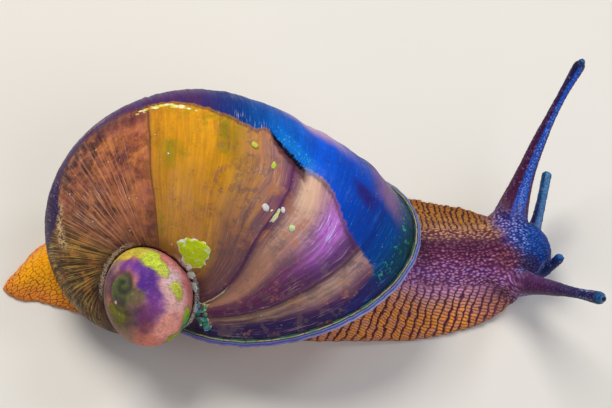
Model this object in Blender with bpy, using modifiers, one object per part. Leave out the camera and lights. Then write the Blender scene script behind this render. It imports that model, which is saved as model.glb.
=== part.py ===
"""Large striped land snail, crawling: a still, life-size model in named solids.

Blender 4.5, metres, +Z up. The snail crawls along +X with its left side towards +Y and the
sole of its foot flat on Z = 0. Lengths below are in millimetres and become metres when a
piece is finished. Touching pieces keep a gap of GAP between them.
"""
import math

import bmesh
import bpy
from mathutils import Matrix, Vector

MM = 0.001
GAP = 0.3

# Shell: a tube of elliptic section wound on a logarithmic spiral round an axis that points
# to the spire. The turn is 0 at the lip and grows more negative towards the spire.
SHELL_ORIGIN = Vector((-37.9, -15.9, 22.3))
SPIRE_HEADING = math.radians(-113.7)
SPIRE_RISE = math.radians(36.4)
COIL_GROWTH = 0.303            # natural log of the growth per radian of turn
COIL_PHASE = 0.037
FIRST_TURN = -5.2
MOUTH_TURN = -0.035
WAIST_TURN = -0.58             # the last whorl draws in a little before it flares to the lip
WAIST_SPAN = 0.42
WAIST_DEPTH = 2.6
WHORL_VOXEL = 0.8
WHORL_FACES = 1700
WHORL_RADIUS = 25.3            # from the axis to the middle of the mouth
WHORL_DROP = 25.7              # middle of the mouth, below the start of the coil
MOUTH_LONG = 30.4              # semi-axes of the mouth
MOUTH_SHORT = 23.4
MOUTH_ROLL = math.radians(-12.4)
MOUTH_LEAN = math.radians(-31.3)
MOUTH_YAW = math.radians(-1.5)

# Lip: a flat rim that stands on the edge of the mouth.
LIP_HALF_WIDTH = 1.9
LIP_HALF_THICKNESS = 0.8
LIP_OUTWARD = -1.0
COLLAR_THICKNESS = 2.2

# Spire: the smooth dome of the young shell.
DOME_CENTRE = Vector((-32.5, -16.1, 19.3))
DOME_RADIUS = 10.5
DOME_SQUASH = 0.87
DOME_SQUASH_AXIS = Vector((0.99, 0.14, 0.0)).normalized()
NUCLEUS_AXIS = Vector((-0.49, -0.23, 0.84)).normalized()
UNDER_DOME_CENTRE = Vector((-29.5, -12.0, 13.4))   # the young shell's base, below its dome
UNDER_DOME_SIZE = Vector((9.4, 9.0, 8.6))
GROOVE_DEPTH = 0.4
GROOVE_START = 0.22            # polar angles from the nucleus, in radians
GROOVE_GROWTH = 0.23
GROOVE_WIDTH = 0.075

# Body, from the tip of the tail to the front of the foot:
# (x, side shift, half width, height of the back, half width of the back, height of the margin)
BODY_STATIONS = (
    (-67.0, -5.0, 0.2, 0.6, 2.0, 0.5),
    (-64.0, -3.8, 3.8, 2.8, 3.0, 1.2),
    (-58.5, -0.8, 7.6, 5.2, 4.5, 1.8),
    (-48.0, 0.0, 11.5, 9.0, 7.0, 2.6),
    (-30.0, 0.0, 15.5, 21.0, 12.0, 3.2),
    (-5.0, 0.0, 17.5, 26.0, 15.5, 3.8),
    (12.0, 0.0, 17.9, 21.0, 13.5, 4.0),
    (23.0, 0.0, 17.6, 13.8, 10.0, 4.0),
    (32.0, 0.1, 15.8, 12.2, 8.2, 3.8),
    (38.0, 0.3, 14.0, 12.0, 7.8, 3.4),
    (44.0, 0.8, 10.6, 11.2, 7.4, 2.8),
    (48.5, 1.2, 6.2, 7.0, 6.0, 2.2),
    (51.0, 1.4, 0.4, 1.4, 3.0, 0.8),
)
BODY_SEGMENTS = 24
BODY_RINGS = 34
TAIL_CUT = -36.0
NECK_CUT = 20.0
HEAD_CUT = 40.0
FOOT_CUT = 3.6

SNOUT_CENTRE = Vector((46.0, 0.9, 6.6))
SNOUT_SIZE = Vector((7.8, 7.4, 5.4))
LAPPET_CENTRE = Vector((51.6, 1.4, 3.0))
LAPPET_SIZE = Vector((2.9, 2.6, 2.3))
LAPPET_SPREAD = 2.3
BROW_CENTRE = Vector((43.5, 0.4, 8.6))
BROW_SIZE = Vector((6.6, 9.4, 4.2))

# Upper tentacles, with an eye in each tip, and lower tentacles
UPPER_LEFT = (Vector((44.6, 7.0, 9.0)), Vector((57.9, 28.6, 39.6)), Vector((-2.2, 1.2, 0.6)))
UPPER_RIGHT = (Vector((45.6, -7.4, 8.2)), Vector((56.5, -27.3, 40.4)), Vector((-1.4, 0.6, 0.2)))
UPPER_RADII = (4.0, 2.2, 1.4, 0.95, 1.25)
UPPER_RIGHT_RADII = (3.1, 1.95, 1.4, 0.95, 1.25)
LOWER_LEFT = (Vector((50.0, 5.0, 5.2)), Vector((53.6, 18.4, 12.2)), Vector((0.4, -0.5, -0.8)))
LOWER_RIGHT = (Vector((50.0, -4.2, 5.8)), Vector((54.8, -3.4, 13.0)), Vector((0.8, -0.3, -0.6)))
LOWER_RADII = (1.8, 1.25, 1.05, 1.0, 1.1)
EYE_RADIUS = 0.8
EYE_PROUD = 0.35

COLOURS = {
    "shell": (0.20, 0.10, 0.06),
    "spire": (0.42, 0.20, 0.26),
    "lip": (0.24, 0.22, 0.40),
    "flesh": (0.10, 0.035, 0.05),
    "foot": (0.55, 0.24, 0.04),
    "eye": (0.01, 0.01, 0.03),
}


# ---------------------------------------------------------------- general helpers

def clear_scene():
    for item in list(bpy.data.objects):
        bpy.data.objects.remove(item, do_unlink=True)


def new_object(name, bm, collection=None):
    """A mesh object, still in millimetres, from a bmesh that is used up."""
    bmesh.ops.recalc_face_normals(bm, faces=bm.faces)
    mesh = bpy.data.meshes.new(name)
    bm.to_mesh(mesh)
    bm.free()
    item = bpy.data.objects.new(name, mesh)
    (collection or bpy.context.scene.collection).objects.link(item)
    return item


def formed_cylinder(segments, rings, place):
    """A closed cylinder whose points go where place(angle, along) says, along from 0 to 1."""
    bm = bmesh.new()
    bmesh.ops.create_cone(bm, cap_ends=True, cap_tris=False, segments=segments,
                          radius1=1.0, radius2=1.0, depth=1.0)
    sides = [e for e in bm.edges if abs(e.verts[0].co.z - e.verts[1].co.z) > 0.5]
    bmesh.ops.subdivide_edges(bm, edges=sides, cuts=rings - 1)
    for vert in bm.verts:
        vert.co = place(math.atan2(vert.co.y, vert.co.x), vert.co.z + 0.5)
    bmesh.ops.remove_doubles(bm, verts=bm.verts, dist=0.01)
    return bm


def ellipsoid(name, centre, size, segments=24, rings=14, turn=0.0):
    bm = bmesh.new()
    bmesh.ops.create_uvsphere(bm, u_segments=segments, v_segments=rings, radius=1.0)
    shape = Matrix.Rotation(turn, 4, "Z") @ Matrix.Diagonal(size).to_4x4()
    bmesh.ops.transform(bm, matrix=Matrix.Translation(centre) @ shape, verts=bm.verts)
    return new_object(name, bm)


def apply_modifiers(item):
    """Swap an object's mesh for the one that its modifiers make."""
    graph = bpy.context.evaluated_depsgraph_get()
    mesh = bpy.data.meshes.new_from_object(item.evaluated_get(graph))
    item.modifiers.clear()
    item.data = mesh


def combine(item, others, operation):
    """Boolean an object with each of the others, and drop the others made only for it."""
    for other in others:
        step = item.modifiers.new(operation.lower(), "BOOLEAN")
        step.operation = operation
        step.solver = "EXACT"
        step.object = other
        apply_modifiers(item)


def room_of(verts):
    """The size of the box round some vertices."""
    spans = [max(v.co[k] for v in verts) - min(v.co[k] for v in verts) for k in range(3)]
    return spans[0] * spans[1] * spans[2]


def keep_largest(item):
    """Drop the crumbs that a cut leaves beside the main body."""
    bm = bmesh.new()
    bm.from_mesh(item.data)
    waiting, bodies = set(bm.verts), []
    while waiting:
        body, edge_of_body = set(), [waiting.pop()]
        while edge_of_body:
            vert = edge_of_body.pop()
            body.add(vert)
            for edge in vert.link_edges:
                other = edge.other_vert(vert)
                if other in waiting:
                    waiting.remove(other)
                    edge_of_body.append(other)
        bodies.append(body)
    bodies.sort(key=room_of)
    for crumbs in bodies[:-1]:
        bmesh.ops.delete(bm, geom=list(crumbs), context="VERTS")
    bm.to_mesh(item.data)
    bm.free()


def join_meshes(item, other):
    """Add another object's mesh to this one's, and drop the other."""
    bm = bmesh.new()
    bm.from_mesh(item.data)
    bm.from_mesh(other.data)
    bm.to_mesh(item.data)
    bm.free()
    remove(other)


def remove(*items):
    for item in items:
        bpy.data.objects.remove(item, do_unlink=True)


def copy_of(item, name):
    twin = item.copy()
    twin.data = item.data.copy()
    twin.name = name
    bpy.context.scene.collection.objects.link(twin)
    return twin


def box(name, low, high):
    bm = bmesh.new()
    bmesh.ops.create_cube(bm, size=1.0)
    low, high = Vector(low), Vector(high)
    shape = Matrix.Diagonal(high - low).to_4x4()
    bmesh.ops.transform(bm, matrix=Matrix.Translation((low + high) / 2) @ shape, verts=bm.verts)
    return new_object(name, bm)


def smooth_through(stations, x):
    """Values at x on smooth curves through the stations, whose first number is x."""
    last = len(stations) - 1
    i = 0
    while i < last - 1 and x > stations[i + 1][0]:
        i += 1
    left, right = stations[i], stations[i + 1]
    before, after = stations[max(i - 1, 0)], stations[min(i + 2, last)]
    width = right[0] - left[0]
    u = min(max((x - left[0]) / width, 0.0), 1.0)
    values = []
    for k in range(1, len(left)):
        slope_in = (right[k] - before[k]) / (right[0] - before[0]) * width
        slope_out = (after[k] - left[k]) / (after[0] - left[0]) * width
        values.append((2 * u**3 - 3 * u**2 + 1) * left[k] + (u**3 - 2 * u**2 + u) * slope_in
                      + (3 * u**2 - 2 * u**3) * right[k] + (u**3 - u**2) * slope_out)
    return values


# ---------------------------------------------------------------- shell

def coil_frame():
    """The axis to the spire, and two directions across it."""
    axis = Vector((math.cos(SPIRE_HEADING) * math.cos(SPIRE_RISE),
                   math.sin(SPIRE_HEADING) * math.cos(SPIRE_RISE),
                   math.sin(SPIRE_RISE)))
    across = Vector((1, 0, 0))
    across = (across - axis * across.dot(axis)).normalized()
    return axis, across, axis.cross(across)


def mouth_point(angle, grow=0.0, forward=0.0):
    """A point of the mouth's plane as (outward, along growth, towards the spire)."""
    turn = Matrix.Rotation(MOUTH_YAW, 3, "Z") @ Matrix.Rotation(MOUTH_LEAN, 3, "X")
    long_way = turn @ Vector((math.cos(MOUTH_ROLL), 0, math.sin(MOUTH_ROLL)))
    short_way = turn @ Vector((-math.sin(MOUTH_ROLL), 0, math.cos(MOUTH_ROLL)))
    normal = turn @ Vector((0, 1, 0))
    point = Vector((WHORL_RADIUS, 0, -WHORL_DROP))
    point += long_way * math.cos(angle) * (MOUTH_LONG + grow)
    point += short_way * math.sin(angle) * (MOUTH_SHORT + grow)
    return point + normal * forward


def coil_place(local, turn):
    """Where a point of the mouth's frame lies when the coil is at a given turn."""
    axis, across, third = coil_frame()
    angle = COIL_PHASE - turn
    outward = across * math.cos(angle) + third * math.sin(angle)
    growth = across * math.sin(angle) - third * math.cos(angle)
    scale = math.exp(COIL_GROWTH * turn)
    return SHELL_ORIGIN + scale * (local.x * outward + local.y * growth + local.z * axis)


def body_whorl():
    """The coiled tube, closed at both ends and joined to itself where the whorls meet."""
    def place(angle, along):
        turn = FIRST_TURN + (MOUTH_TURN - FIRST_TURN) * along
        waist = math.exp(-((turn - WAIST_TURN) / WAIST_SPAN) ** 2)
        local = mouth_point(angle, -WAIST_DEPTH * waist)
        if local.x < 0.0:
            local = Vector((0.0, 0.0, local.z))
        return coil_place(local, turn)

    item = new_object("shell_body_whorl", formed_cylinder(40, 48, place))
    base = ellipsoid("base", UNDER_DOME_CENTRE, UNDER_DOME_SIZE)
    join_meshes(item, base)
    join = item.modifiers.new("join", "REMESH")
    join.mode = "VOXEL"
    join.voxel_size = WHORL_VOXEL
    soften = item.modifiers.new("soften", "SMOOTH")
    soften.factor = 0.5
    soften.iterations = 2
    apply_modifiers(item)
    thin_to(item, WHORL_FACES)
    return item


def thin_to(item, faces):
    """Collapse edges until about this many triangles are left."""
    item.data.calc_loop_triangles()
    thin = item.modifiers.new("thin", "DECIMATE")
    thin.ratio = min(1.0, faces / len(item.data.loop_triangles))
    apply_modifiers(item)


def swollen(item, name, by=GAP):
    """A copy whose surface stands off by a gap, to cut room for the piece itself."""
    twin = copy_of(item, name)
    grow = twin.modifiers.new("grow", "DISPLACE")
    grow.strength = by
    grow.mid_level = 0.0
    apply_modifiers(twin)
    return twin


def spire():
    """The smooth dome of the young shell, with the spiral groove that runs out of its nucleus."""
    bm = bmesh.new()
    bmesh.ops.create_uvsphere(bm, u_segments=28, v_segments=18, radius=DOME_RADIUS)
    tilt = Vector((0, 0, 1)).rotation_difference(NUCLEUS_AXIS).to_matrix()
    squash = Matrix.Scale(DOME_SQUASH, 3, DOME_SQUASH_AXIS)
    for vert in bm.verts:
        radial = tilt @ vert.co
        radial *= 1.0 - GROOVE_DEPTH / DOME_RADIUS * groove(radial.normalized())
        vert.co = DOME_CENTRE + squash @ radial
    return new_object("shell_spire", bm)


def groove(direction):
    """How deep the spiral groove is, from 0 to 1, in a direction from the dome's centre."""
    polar = math.acos(max(-1.0, min(1.0, direction.dot(NUCLEUS_AXIS))))
    side = NUCLEUS_AXIS.cross(Vector((0, 0, 1))).normalized()
    front = side.cross(NUCLEUS_AXIS)
    round_way = math.atan2(direction.dot(side), direction.dot(front)) % (2 * math.pi)
    start = GROOVE_START * math.exp(GROOVE_GROWTH * round_way)
    return max(math.exp(-((polar - start) / GROOVE_WIDTH) ** 2),
               math.exp(-((polar - start * math.exp(-GROOVE_GROWTH * 2 * math.pi))
                          / GROOVE_WIDTH) ** 2))


def lip(name, room=0.0):
    """A flat rim all round the mouth, in front of the end of the last whorl."""
    bpy.ops.mesh.primitive_torus_add(major_segments=60, minor_segments=8,
                                     major_radius=1.0, minor_radius=0.25)
    item = bpy.context.object
    item.name = item.data.name = name
    for vert in item.data.vertices:
        x, y, z = vert.co
        grow = LIP_OUTWARD + (LIP_HALF_WIDTH + room) * (math.hypot(x, y) - 1.0) / 0.25
        forward = GAP + LIP_HALF_THICKNESS + (LIP_HALF_THICKNESS + room) * z / 0.25
        vert.co = coil_place(mouth_point(math.atan2(y, x), grow, forward), MOUTH_TURN)
    return item


def mantle_collar(name, room=0.0):
    """The pad of flesh that fills the mouth inside the lip."""
    inset = LIP_OUTWARD - LIP_HALF_WIDTH - GAP + room

    def place(angle, along):
        forward = GAP - room + (COLLAR_THICKNESS + 2 * room) * along
        return coil_place(mouth_point(angle, inset, forward), MOUTH_TURN)

    return new_object(name, formed_cylinder(48, 1, place))


# ---------------------------------------------------------------- flesh

def body_form():
    """Foot, back and neck in one, with a flat sole."""
    first, last = BODY_STATIONS[0][0], BODY_STATIONS[-1][0]

    def place(angle, along):
        x = first + (last - first) * along
        shift, half, top, back, margin = smooth_through(BODY_STATIONS, x)
        side = math.cos(angle)
        y = shift + half * side
        if math.sin(angle) <= 0.0:
            return Vector((x, y, 0.0))
        edge = math.sin(angle) ** 0.6
        ridge = math.exp(-math.log(2) * abs(half * side / back) ** 3)
        return Vector((x, y, edge * (margin + (top - margin) * ridge)))

    return new_object("body_form", formed_cylinder(BODY_SEGMENTS, BODY_RINGS, place))


def feeler(name, base, tip, bend, radii, segments, rings, room=0.0):
    """A tapering feeler with a round tip, along a curve from base to tip."""
    middle = (base + tip) / 2 + bend
    length = (tip - base).length
    stations = [(k / (len(radii) - 1), r + room) for k, r in enumerate(radii)]
    base = base - (middle - base).normalized() * room

    def centre(u):
        return base * (1 - u) ** 2 + middle * 2 * u * (1 - u) + tip * u ** 2

    def place(angle, along):
        u = along ** 0.8
        radius = smooth_through(stations, u)[0]
        left_over = (1.0 - u) * length
        if left_over < radius:
            radius = math.sqrt(max(radius ** 2 - (radius - left_over) ** 2, 0.0))
        ahead = (centre(min(u + 0.01, 1.0)) - centre(max(u - 0.01, 0.0))).normalized()
        across = ahead.cross(Vector((0, 0, 1))).normalized()
        upward = across.cross(ahead)
        return centre(u) + radius * (math.cos(angle) * across + math.sin(angle) * upward)

    return new_object(name, formed_cylinder(segments, rings, place))


def finish(item, colour, roughness, moved):
    """Own material, smooth shading, and millimetres turned into metres."""
    material = bpy.data.materials.new(item.name)
    material.use_nodes = True
    shader = material.node_tree.nodes["Principled BSDF"]
    shader.inputs["Base Color"].default_value = (*COLOURS[colour], 1.0)
    shader.inputs["Roughness"].default_value = roughness
    item.data.materials.clear()
    item.data.materials.append(material)
    item.data.transform(Matrix.Diagonal((MM, MM, MM, 1.0)) @ Matrix.Translation(moved))
    item.data.shade_smooth()
    item.data.set_sharp_from_angle(angle=math.radians(40))


def slice_of(flesh, name, low, high):
    """The part of the flesh inside a box."""
    piece = copy_of(flesh, name)
    cutter = box("cutter", low, high)
    combine(piece, [cutter], "INTERSECT")
    remove(cutter)
    keep_largest(piece)
    return piece


def divide_flesh(flesh):
    """Foot, tail, trunk, neck and head, parted by thin cuts."""
    wide, tall, half = 60.0, 80.0, GAP / 2
    over_foot = FOOT_CUT + half
    return {
        "tail": slice_of(flesh, "tail", (-90, -wide, -1), (TAIL_CUT - half, wide, tall)),
        "foot": slice_of(flesh, "foot", (TAIL_CUT + half, -wide, -1),
                         (HEAD_CUT - half, wide, FOOT_CUT - half)),
        "trunk": slice_of(flesh, "trunk", (TAIL_CUT + half, -wide, over_foot),
                          (NECK_CUT - half, wide, tall)),
        "neck": slice_of(flesh, "neck", (NECK_CUT + half, -wide, over_foot),
                         (HEAD_CUT - half, wide, tall)),
        "head": slice_of(flesh, "head", (HEAD_CUT + half, -wide, -1), (90, wide, tall)),
    }


def tentacles(head):
    """Two long upper feelers with eyes, and two short lower ones, seated in the head."""
    made = {}
    for side, upper, radii, lower in (("left", UPPER_LEFT, UPPER_RADII, LOWER_LEFT),
                                      ("right", UPPER_RIGHT, UPPER_RIGHT_RADII, LOWER_RIGHT)):
        for level, shape in (("upper", (*upper, radii, 14, 15)),
                             ("lower", (*lower, LOWER_RADII, 12, 9))):
            name = "tentacle_" + level + "_" + side
            made[name] = feeler(name, *shape)
            room = feeler("room", *shape, room=GAP)
            combine(head, [room], "DIFFERENCE")
            remove(room)

        base, tip, bend = upper
        ahead = (tip - (base + tip) / 2 - bend).normalized()
        centre = tip - ahead * (EYE_RADIUS - EYE_PROUD)
        made["eye_" + side] = ellipsoid("eye_" + side, centre, Vector((EYE_RADIUS,) * 3), 12, 8)
        socket = ellipsoid("socket", centre, Vector((EYE_RADIUS + GAP,) * 3), 12, 8)
        combine(made["tentacle_upper_" + side], [socket], "DIFFERENCE")
        remove(socket)
    keep_largest(head)
    return made


def middle_of_footprint(items):
    """The middle of the model's box in X and Y, and its lowest point."""
    points = [vert.co for item in items for vert in item.data.vertices]
    low = [min(p[k] for p in points) for k in range(3)]
    high = [max(p[k] for p in points) for k in range(3)]
    return Vector(((low[0] + high[0]) / 2, (low[1] + high[1]) / 2, low[2]))


def main():
    clear_scene()
    dome = spire()
    dome_room = swollen(dome, "dome_room")
    whorl = body_whorl()
    whorl_room = swollen(whorl, "whorl_room")
    combine(whorl, [dome_room], "DIFFERENCE")

    rim, rim_room = lip("shell_lip"), lip("rim_room", GAP)
    combine(rim, [dome_room, whorl_room], "DIFFERENCE")
    collar, collar_room = mantle_collar("mantle_collar"), mantle_collar("collar_room", GAP)
    combine(collar, [dome_room, whorl_room, rim_room], "DIFFERENCE")
    for item in (whorl, rim, collar):
        keep_largest(item)

    flesh = body_form()
    snout = ellipsoid("snout", SNOUT_CENTRE, SNOUT_SIZE, 22, 12)
    brow = ellipsoid("brow", BROW_CENTRE, BROW_SIZE, 22, 12)
    lappets = [ellipsoid("lappet", LAPPET_CENTRE + Vector((0, side * LAPPET_SPREAD, 0)),
                         LAPPET_SIZE, 12, 8) for side in (1, -1)]
    combine(flesh, [snout, brow, *lappets], "UNION")
    combine(flesh, [dome_room, whorl_room, rim_room, collar_room], "DIFFERENCE")
    pieces = divide_flesh(flesh)
    feelers = tentacles(pieces["head"])
    remove(dome_room, whorl_room, rim_room, collar_room, flesh, snout, brow, *lappets)

    looks = [(dome, "spire", 0.35), (whorl, "shell", 0.3), (rim, "lip", 0.35),
             (collar, "flesh", 0.4)]
    looks += [(item, "foot" if name in ("tail", "foot") else "flesh", 0.45)
              for name, item in pieces.items()]
    looks += [(item, "eye" if name.startswith("eye") else "flesh", 0.25)
              for name, item in feelers.items()]
    shift = -middle_of_footprint([item for item, _, _ in looks])
    group = bpy.data.collections.new("striped_snail")
    bpy.context.scene.collection.children.link(group)
    for item, colour, roughness in looks:
        finish(item, colour, roughness, shift)
        for holder in item.users_collection:
            holder.objects.unlink(item)
        group.objects.link(item)


if __name__ == "__main__":
    main()
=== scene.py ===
"""Looks of a large striped land snail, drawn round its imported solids.

Shapes are worked out in millimetres along the snail's own axes: it crawls along +X with its
left side towards +Y and its sole at zero height. A finished piece is then set into the
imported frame, in metres. The shell and body follow the same sizes as the solids.
"""
import math
from types import SimpleNamespace

import bmesh
import bpy
import numpy as np
from bpy.props import FloatProperty, FloatVectorProperty, PointerProperty
from mathutils import Matrix, Vector


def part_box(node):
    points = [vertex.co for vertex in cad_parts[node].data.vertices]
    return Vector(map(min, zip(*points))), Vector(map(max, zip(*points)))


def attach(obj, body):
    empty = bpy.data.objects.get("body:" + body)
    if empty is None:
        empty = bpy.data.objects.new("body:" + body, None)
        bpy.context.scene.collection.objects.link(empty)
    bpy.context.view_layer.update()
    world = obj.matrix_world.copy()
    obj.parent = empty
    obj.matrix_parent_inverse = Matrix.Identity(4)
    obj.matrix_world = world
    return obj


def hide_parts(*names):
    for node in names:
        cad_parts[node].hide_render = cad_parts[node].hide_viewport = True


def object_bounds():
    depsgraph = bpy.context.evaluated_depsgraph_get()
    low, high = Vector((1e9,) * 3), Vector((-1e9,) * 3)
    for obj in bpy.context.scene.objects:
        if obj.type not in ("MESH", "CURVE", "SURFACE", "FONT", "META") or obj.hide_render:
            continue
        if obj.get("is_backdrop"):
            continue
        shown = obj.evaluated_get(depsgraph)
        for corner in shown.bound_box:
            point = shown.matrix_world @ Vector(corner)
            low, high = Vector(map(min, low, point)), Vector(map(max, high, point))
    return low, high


bl_info = {
    "name": "Striped Snail",
    "version": (1, 0, 0),
    "blender": (4, 5, 0),
    "location": "View3D > Sidebar > Snail",
    "description": "Shell, skin, eyes and stage of a large striped land snail",
    "category": "Object",
}

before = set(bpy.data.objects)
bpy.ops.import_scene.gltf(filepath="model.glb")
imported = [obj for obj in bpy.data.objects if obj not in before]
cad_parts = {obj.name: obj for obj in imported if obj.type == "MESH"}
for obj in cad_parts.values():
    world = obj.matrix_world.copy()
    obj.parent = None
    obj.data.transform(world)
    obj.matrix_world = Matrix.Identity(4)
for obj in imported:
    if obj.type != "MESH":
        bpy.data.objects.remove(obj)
CAD_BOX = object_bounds()
MM = 0.001
UP = Vector((0, 0, 1))

# Shell: a tube of elliptic section wound on a logarithmic spiral. The turn is 0 at the lip
# and grows more negative towards the spire; an angle goes round the tube's section.
SHELL_ORIGIN = Vector((-37.9, -15.9, 22.3))
SPIRE_HEADING = math.radians(-113.7)
SPIRE_RISE = math.radians(36.4)
COIL_GROWTH = 0.303
COIL_PHASE = 0.037
FIRST_TURN = -5.2
MOUTH_TURN = -0.035
WAIST_TURN = -0.58
WAIST_SPAN = 0.42
WAIST_DEPTH = 2.6
WHORL_RADIUS = 25.3
WHORL_DROP = 25.7
MOUTH_LONG = 30.4
MOUTH_SHORT = 23.4
MOUTH_ROLL = math.radians(-12.4)
MOUTH_LEAN = math.radians(-31.3)
MOUTH_YAW = math.radians(-1.5)
UNDER_DOME_CENTRE = Vector((-29.5, -12.0, 13.4))
UNDER_DOME_SIZE = Vector((9.4, 9.0, 8.6))

# Lip and the pad of flesh inside it
LIP_HALF_WIDTH = 1.9
LIP_HALF_THICKNESS = 0.8
LIP_OUTWARD = -1.0
LIP_GAP = 0.3
COLLAR_THICKNESS = 2.2

# Spire
DOME_CENTRE = Vector((-32.5, -16.1, 19.3))
DOME_RADIUS = 10.5
DOME_SQUASH = 0.87
DOME_SQUASH_AXIS = Vector((0.99, 0.14, 0.0)).normalized()
NUCLEUS_AXIS = Vector((-0.49, -0.23, 0.84)).normalized()
DOME_FACE = Vector((0.0, -0.5, 0.866)).normalized()

# Body: (x, side shift, half width, height of the back, half width of the back, margin height)
BODY_STATIONS = (
    (-67.0, -5.0, 0.2, 0.6, 2.0, 0.5),
    (-64.0, -3.8, 3.8, 2.8, 3.0, 1.2),
    (-58.5, -0.8, 7.6, 5.2, 4.5, 1.8),
    (-48.0, 0.0, 11.5, 9.0, 7.0, 2.6),
    (-30.0, 0.0, 15.5, 21.0, 12.0, 3.2),
    (-5.0, 0.0, 17.5, 26.0, 15.5, 3.8),
    (12.0, 0.0, 17.9, 21.0, 13.5, 4.0),
    (23.0, 0.0, 17.6, 13.8, 10.0, 4.0),
    (32.0, 0.1, 15.8, 12.2, 8.2, 3.8),
    (38.0, 0.3, 14.0, 12.0, 7.8, 3.4),
    (44.0, 0.8, 10.6, 11.2, 7.4, 2.8),
    (48.5, 1.2, 6.2, 7.0, 6.0, 2.2),
    (51.0, 1.4, 0.4, 1.4, 3.0, 0.8),
)
SNOUT_CENTRE = Vector((46.0, 0.9, 6.6))
SNOUT_SIZE = Vector((7.8, 7.4, 5.4))
LAPPET_CENTRE = Vector((51.6, 1.4, 3.0))
LAPPET_SIZE = Vector((2.9, 2.6, 2.3))
LAPPET_SPREAD = 2.3
BROW_CENTRE = Vector((43.5, 0.4, 8.6))
BROW_SIZE = Vector((6.6, 9.4, 4.2))

# Feelers: base, tip and how far the middle bends aside
UPPER_LEFT = (Vector((44.6, 7.0, 9.0)), Vector((57.9, 28.6, 39.6)), Vector((-2.2, 1.2, 0.6)))
UPPER_RIGHT = (Vector((45.6, -7.4, 8.2)), Vector((56.5, -27.3, 40.4)), Vector((-1.4, 0.6, 0.2)))
UPPER_RADII = (4.0, 2.2, 1.4, 0.95, 1.25)
UPPER_RIGHT_RADII = (3.1, 1.95, 1.4, 0.95, 1.25)
LOWER_LEFT = (Vector((50.0, 5.0, 5.2)), Vector((53.6, 18.4, 12.2)), Vector((0.4, -0.5, -0.8)))
LOWER_RIGHT = (Vector((50.0, -4.2, 5.8)), Vector((54.8, -3.4, 13.0)), Vector((0.8, -0.3, -0.6)))
LOWER_RADII = (1.8, 1.25, 1.05, 1.0, 1.1)
EYE_RADIUS = 0.8
EYE_PROUD = 0.35


def tint(code):
    """A linear colour, with alpha, from a web colour code."""
    shares = [int(code[i:i + 2], 16) / 255 for i in (1, 3, 5)]
    return (*(s / 12.92 if s <= 0.04045 else ((s + 0.055) / 1.055) ** 2.4 for s in shares), 1.0)


def colour(name, description, code):
    return FloatVectorProperty(name=name, description=description, subtype="COLOR", size=4,
                               min=0.0, max=1.0, default=tint(code))


def amount(name, description, default, low, high, kind="NONE"):
    """A number for the panel. The kinds DISTANCE and POWER are shown with their units."""
    unit = {"DISTANCE": "LENGTH", "POWER": "POWER"}.get(kind, "NONE")
    return FloatProperty(name=name, description=description, default=default, min=low, max=high,
                         subtype=kind, unit=unit)


class SnailShellLooks(bpy.types.PropertyGroup):
    spire_end: colour("Inner plum", "Oldest part of the body whorl", "#2b1a2c")
    copper: colour("Copper", "Whorl behind the colour change", "#a55c3e")
    ochre: colour("Ochre", "Golden field in front of the colour change", "#d8921c")
    tan: colour("Tan", "Pale fields of the last half whorl", "#cf9f92")
    # Painted iridescent sheen: the mauve patch before the lip
    mauve_sheen: colour("Mauve", "Bright growth band before the lip", "#cc80dc")
    plum: colour("Plum", "Dark growth bands", "#5a2c50")
    navy: colour("Navy", "Dark band along the lower lip", "#2c2356")
    band_blue: colour("Band blue", "Band round the outside of the last whorl", "#0049c2")
    band_violet: colour("Band violet", "The same band on the older shell", "#4a2058")
    lip_cream: colour("Lip line", "Pale line in the lip", "#c9bb80")
    # Partly painted highlight: the pale lavender along the crest of the lip
    lip_rim_and_highlight: colour("Lip rim", "Outer rim of the lip", "#a9a6e2")
    gloss: amount("Gloss", "Weight of the clear outer layer", 0.06, 0.0, 1.0, "FACTOR")
    rib_height: amount("Rib height", "Height of the growth ribs", 0.00022, 0.0, 0.001, "DISTANCE")


class SnailSpireLooks(bpy.types.PropertyGroup):
    rose: colour("Rose", "Salmon side of the young shell", "#d47d78")
    violet: colour("Violet", "Crescent across the young shell", "#643082")
    olive: colour("Olive", "Shade of the nucleus", "#59552f")
    groove_depth: amount("Groove depth", "Depth of the spiral groove", 0.0006, 0.0, 0.002,
                         "DISTANCE")


class SnailSkinLooks(bpy.types.PropertyGroup):
    granule_pitch: amount("Granule pitch", "Spacing of back granules", 0.00078, 0.0004, 0.003,
                          "DISTANCE")
    column_pitch: amount("Column pitch", "Spacing of flank grooves", 0.0017, 0.0006, 0.004,
                         "DISTANCE")
    relief: amount("Relief", "Height of the granules", 0.0002, 0.0, 0.001, "DISTANCE")
    maroon: colour("Maroon", "Ground of the back", "#4c1a3e")
    orange: colour("Orange", "Bricks of the flanks", "#f09a2c")
    groove: colour("Groove", "Grooves of the flanks", "#3a1830")
    head_navy: colour("Head navy", "Ground of the snout", "#0c2f78")
    tail_orange: colour("Tail orange", "Tail", "#ffae10")
    # Painted sheen: the blue stripe on the side of the left feelers that faces one way
    sheen_stripe_blue: colour("Stripe blue", "Stripe along the left feeler", "#1a74ff")


class SnailStageLooks(bpy.types.PropertyGroup):
    floor: colour("Floor", "Plain floor", "#dedbd4")
    key_power: amount("Key light", "Power of the main soft light", 2.8, 0.0, 200.0, "POWER")
    sky: amount("Room light", "Brightness of the room", 0.3, 0.0, 5.0)
    lens: amount("Lens", "Focal length in millimetres", 86.6, 20.0, 300.0)


# ---------------------------------------------------------------- node wiring

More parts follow.
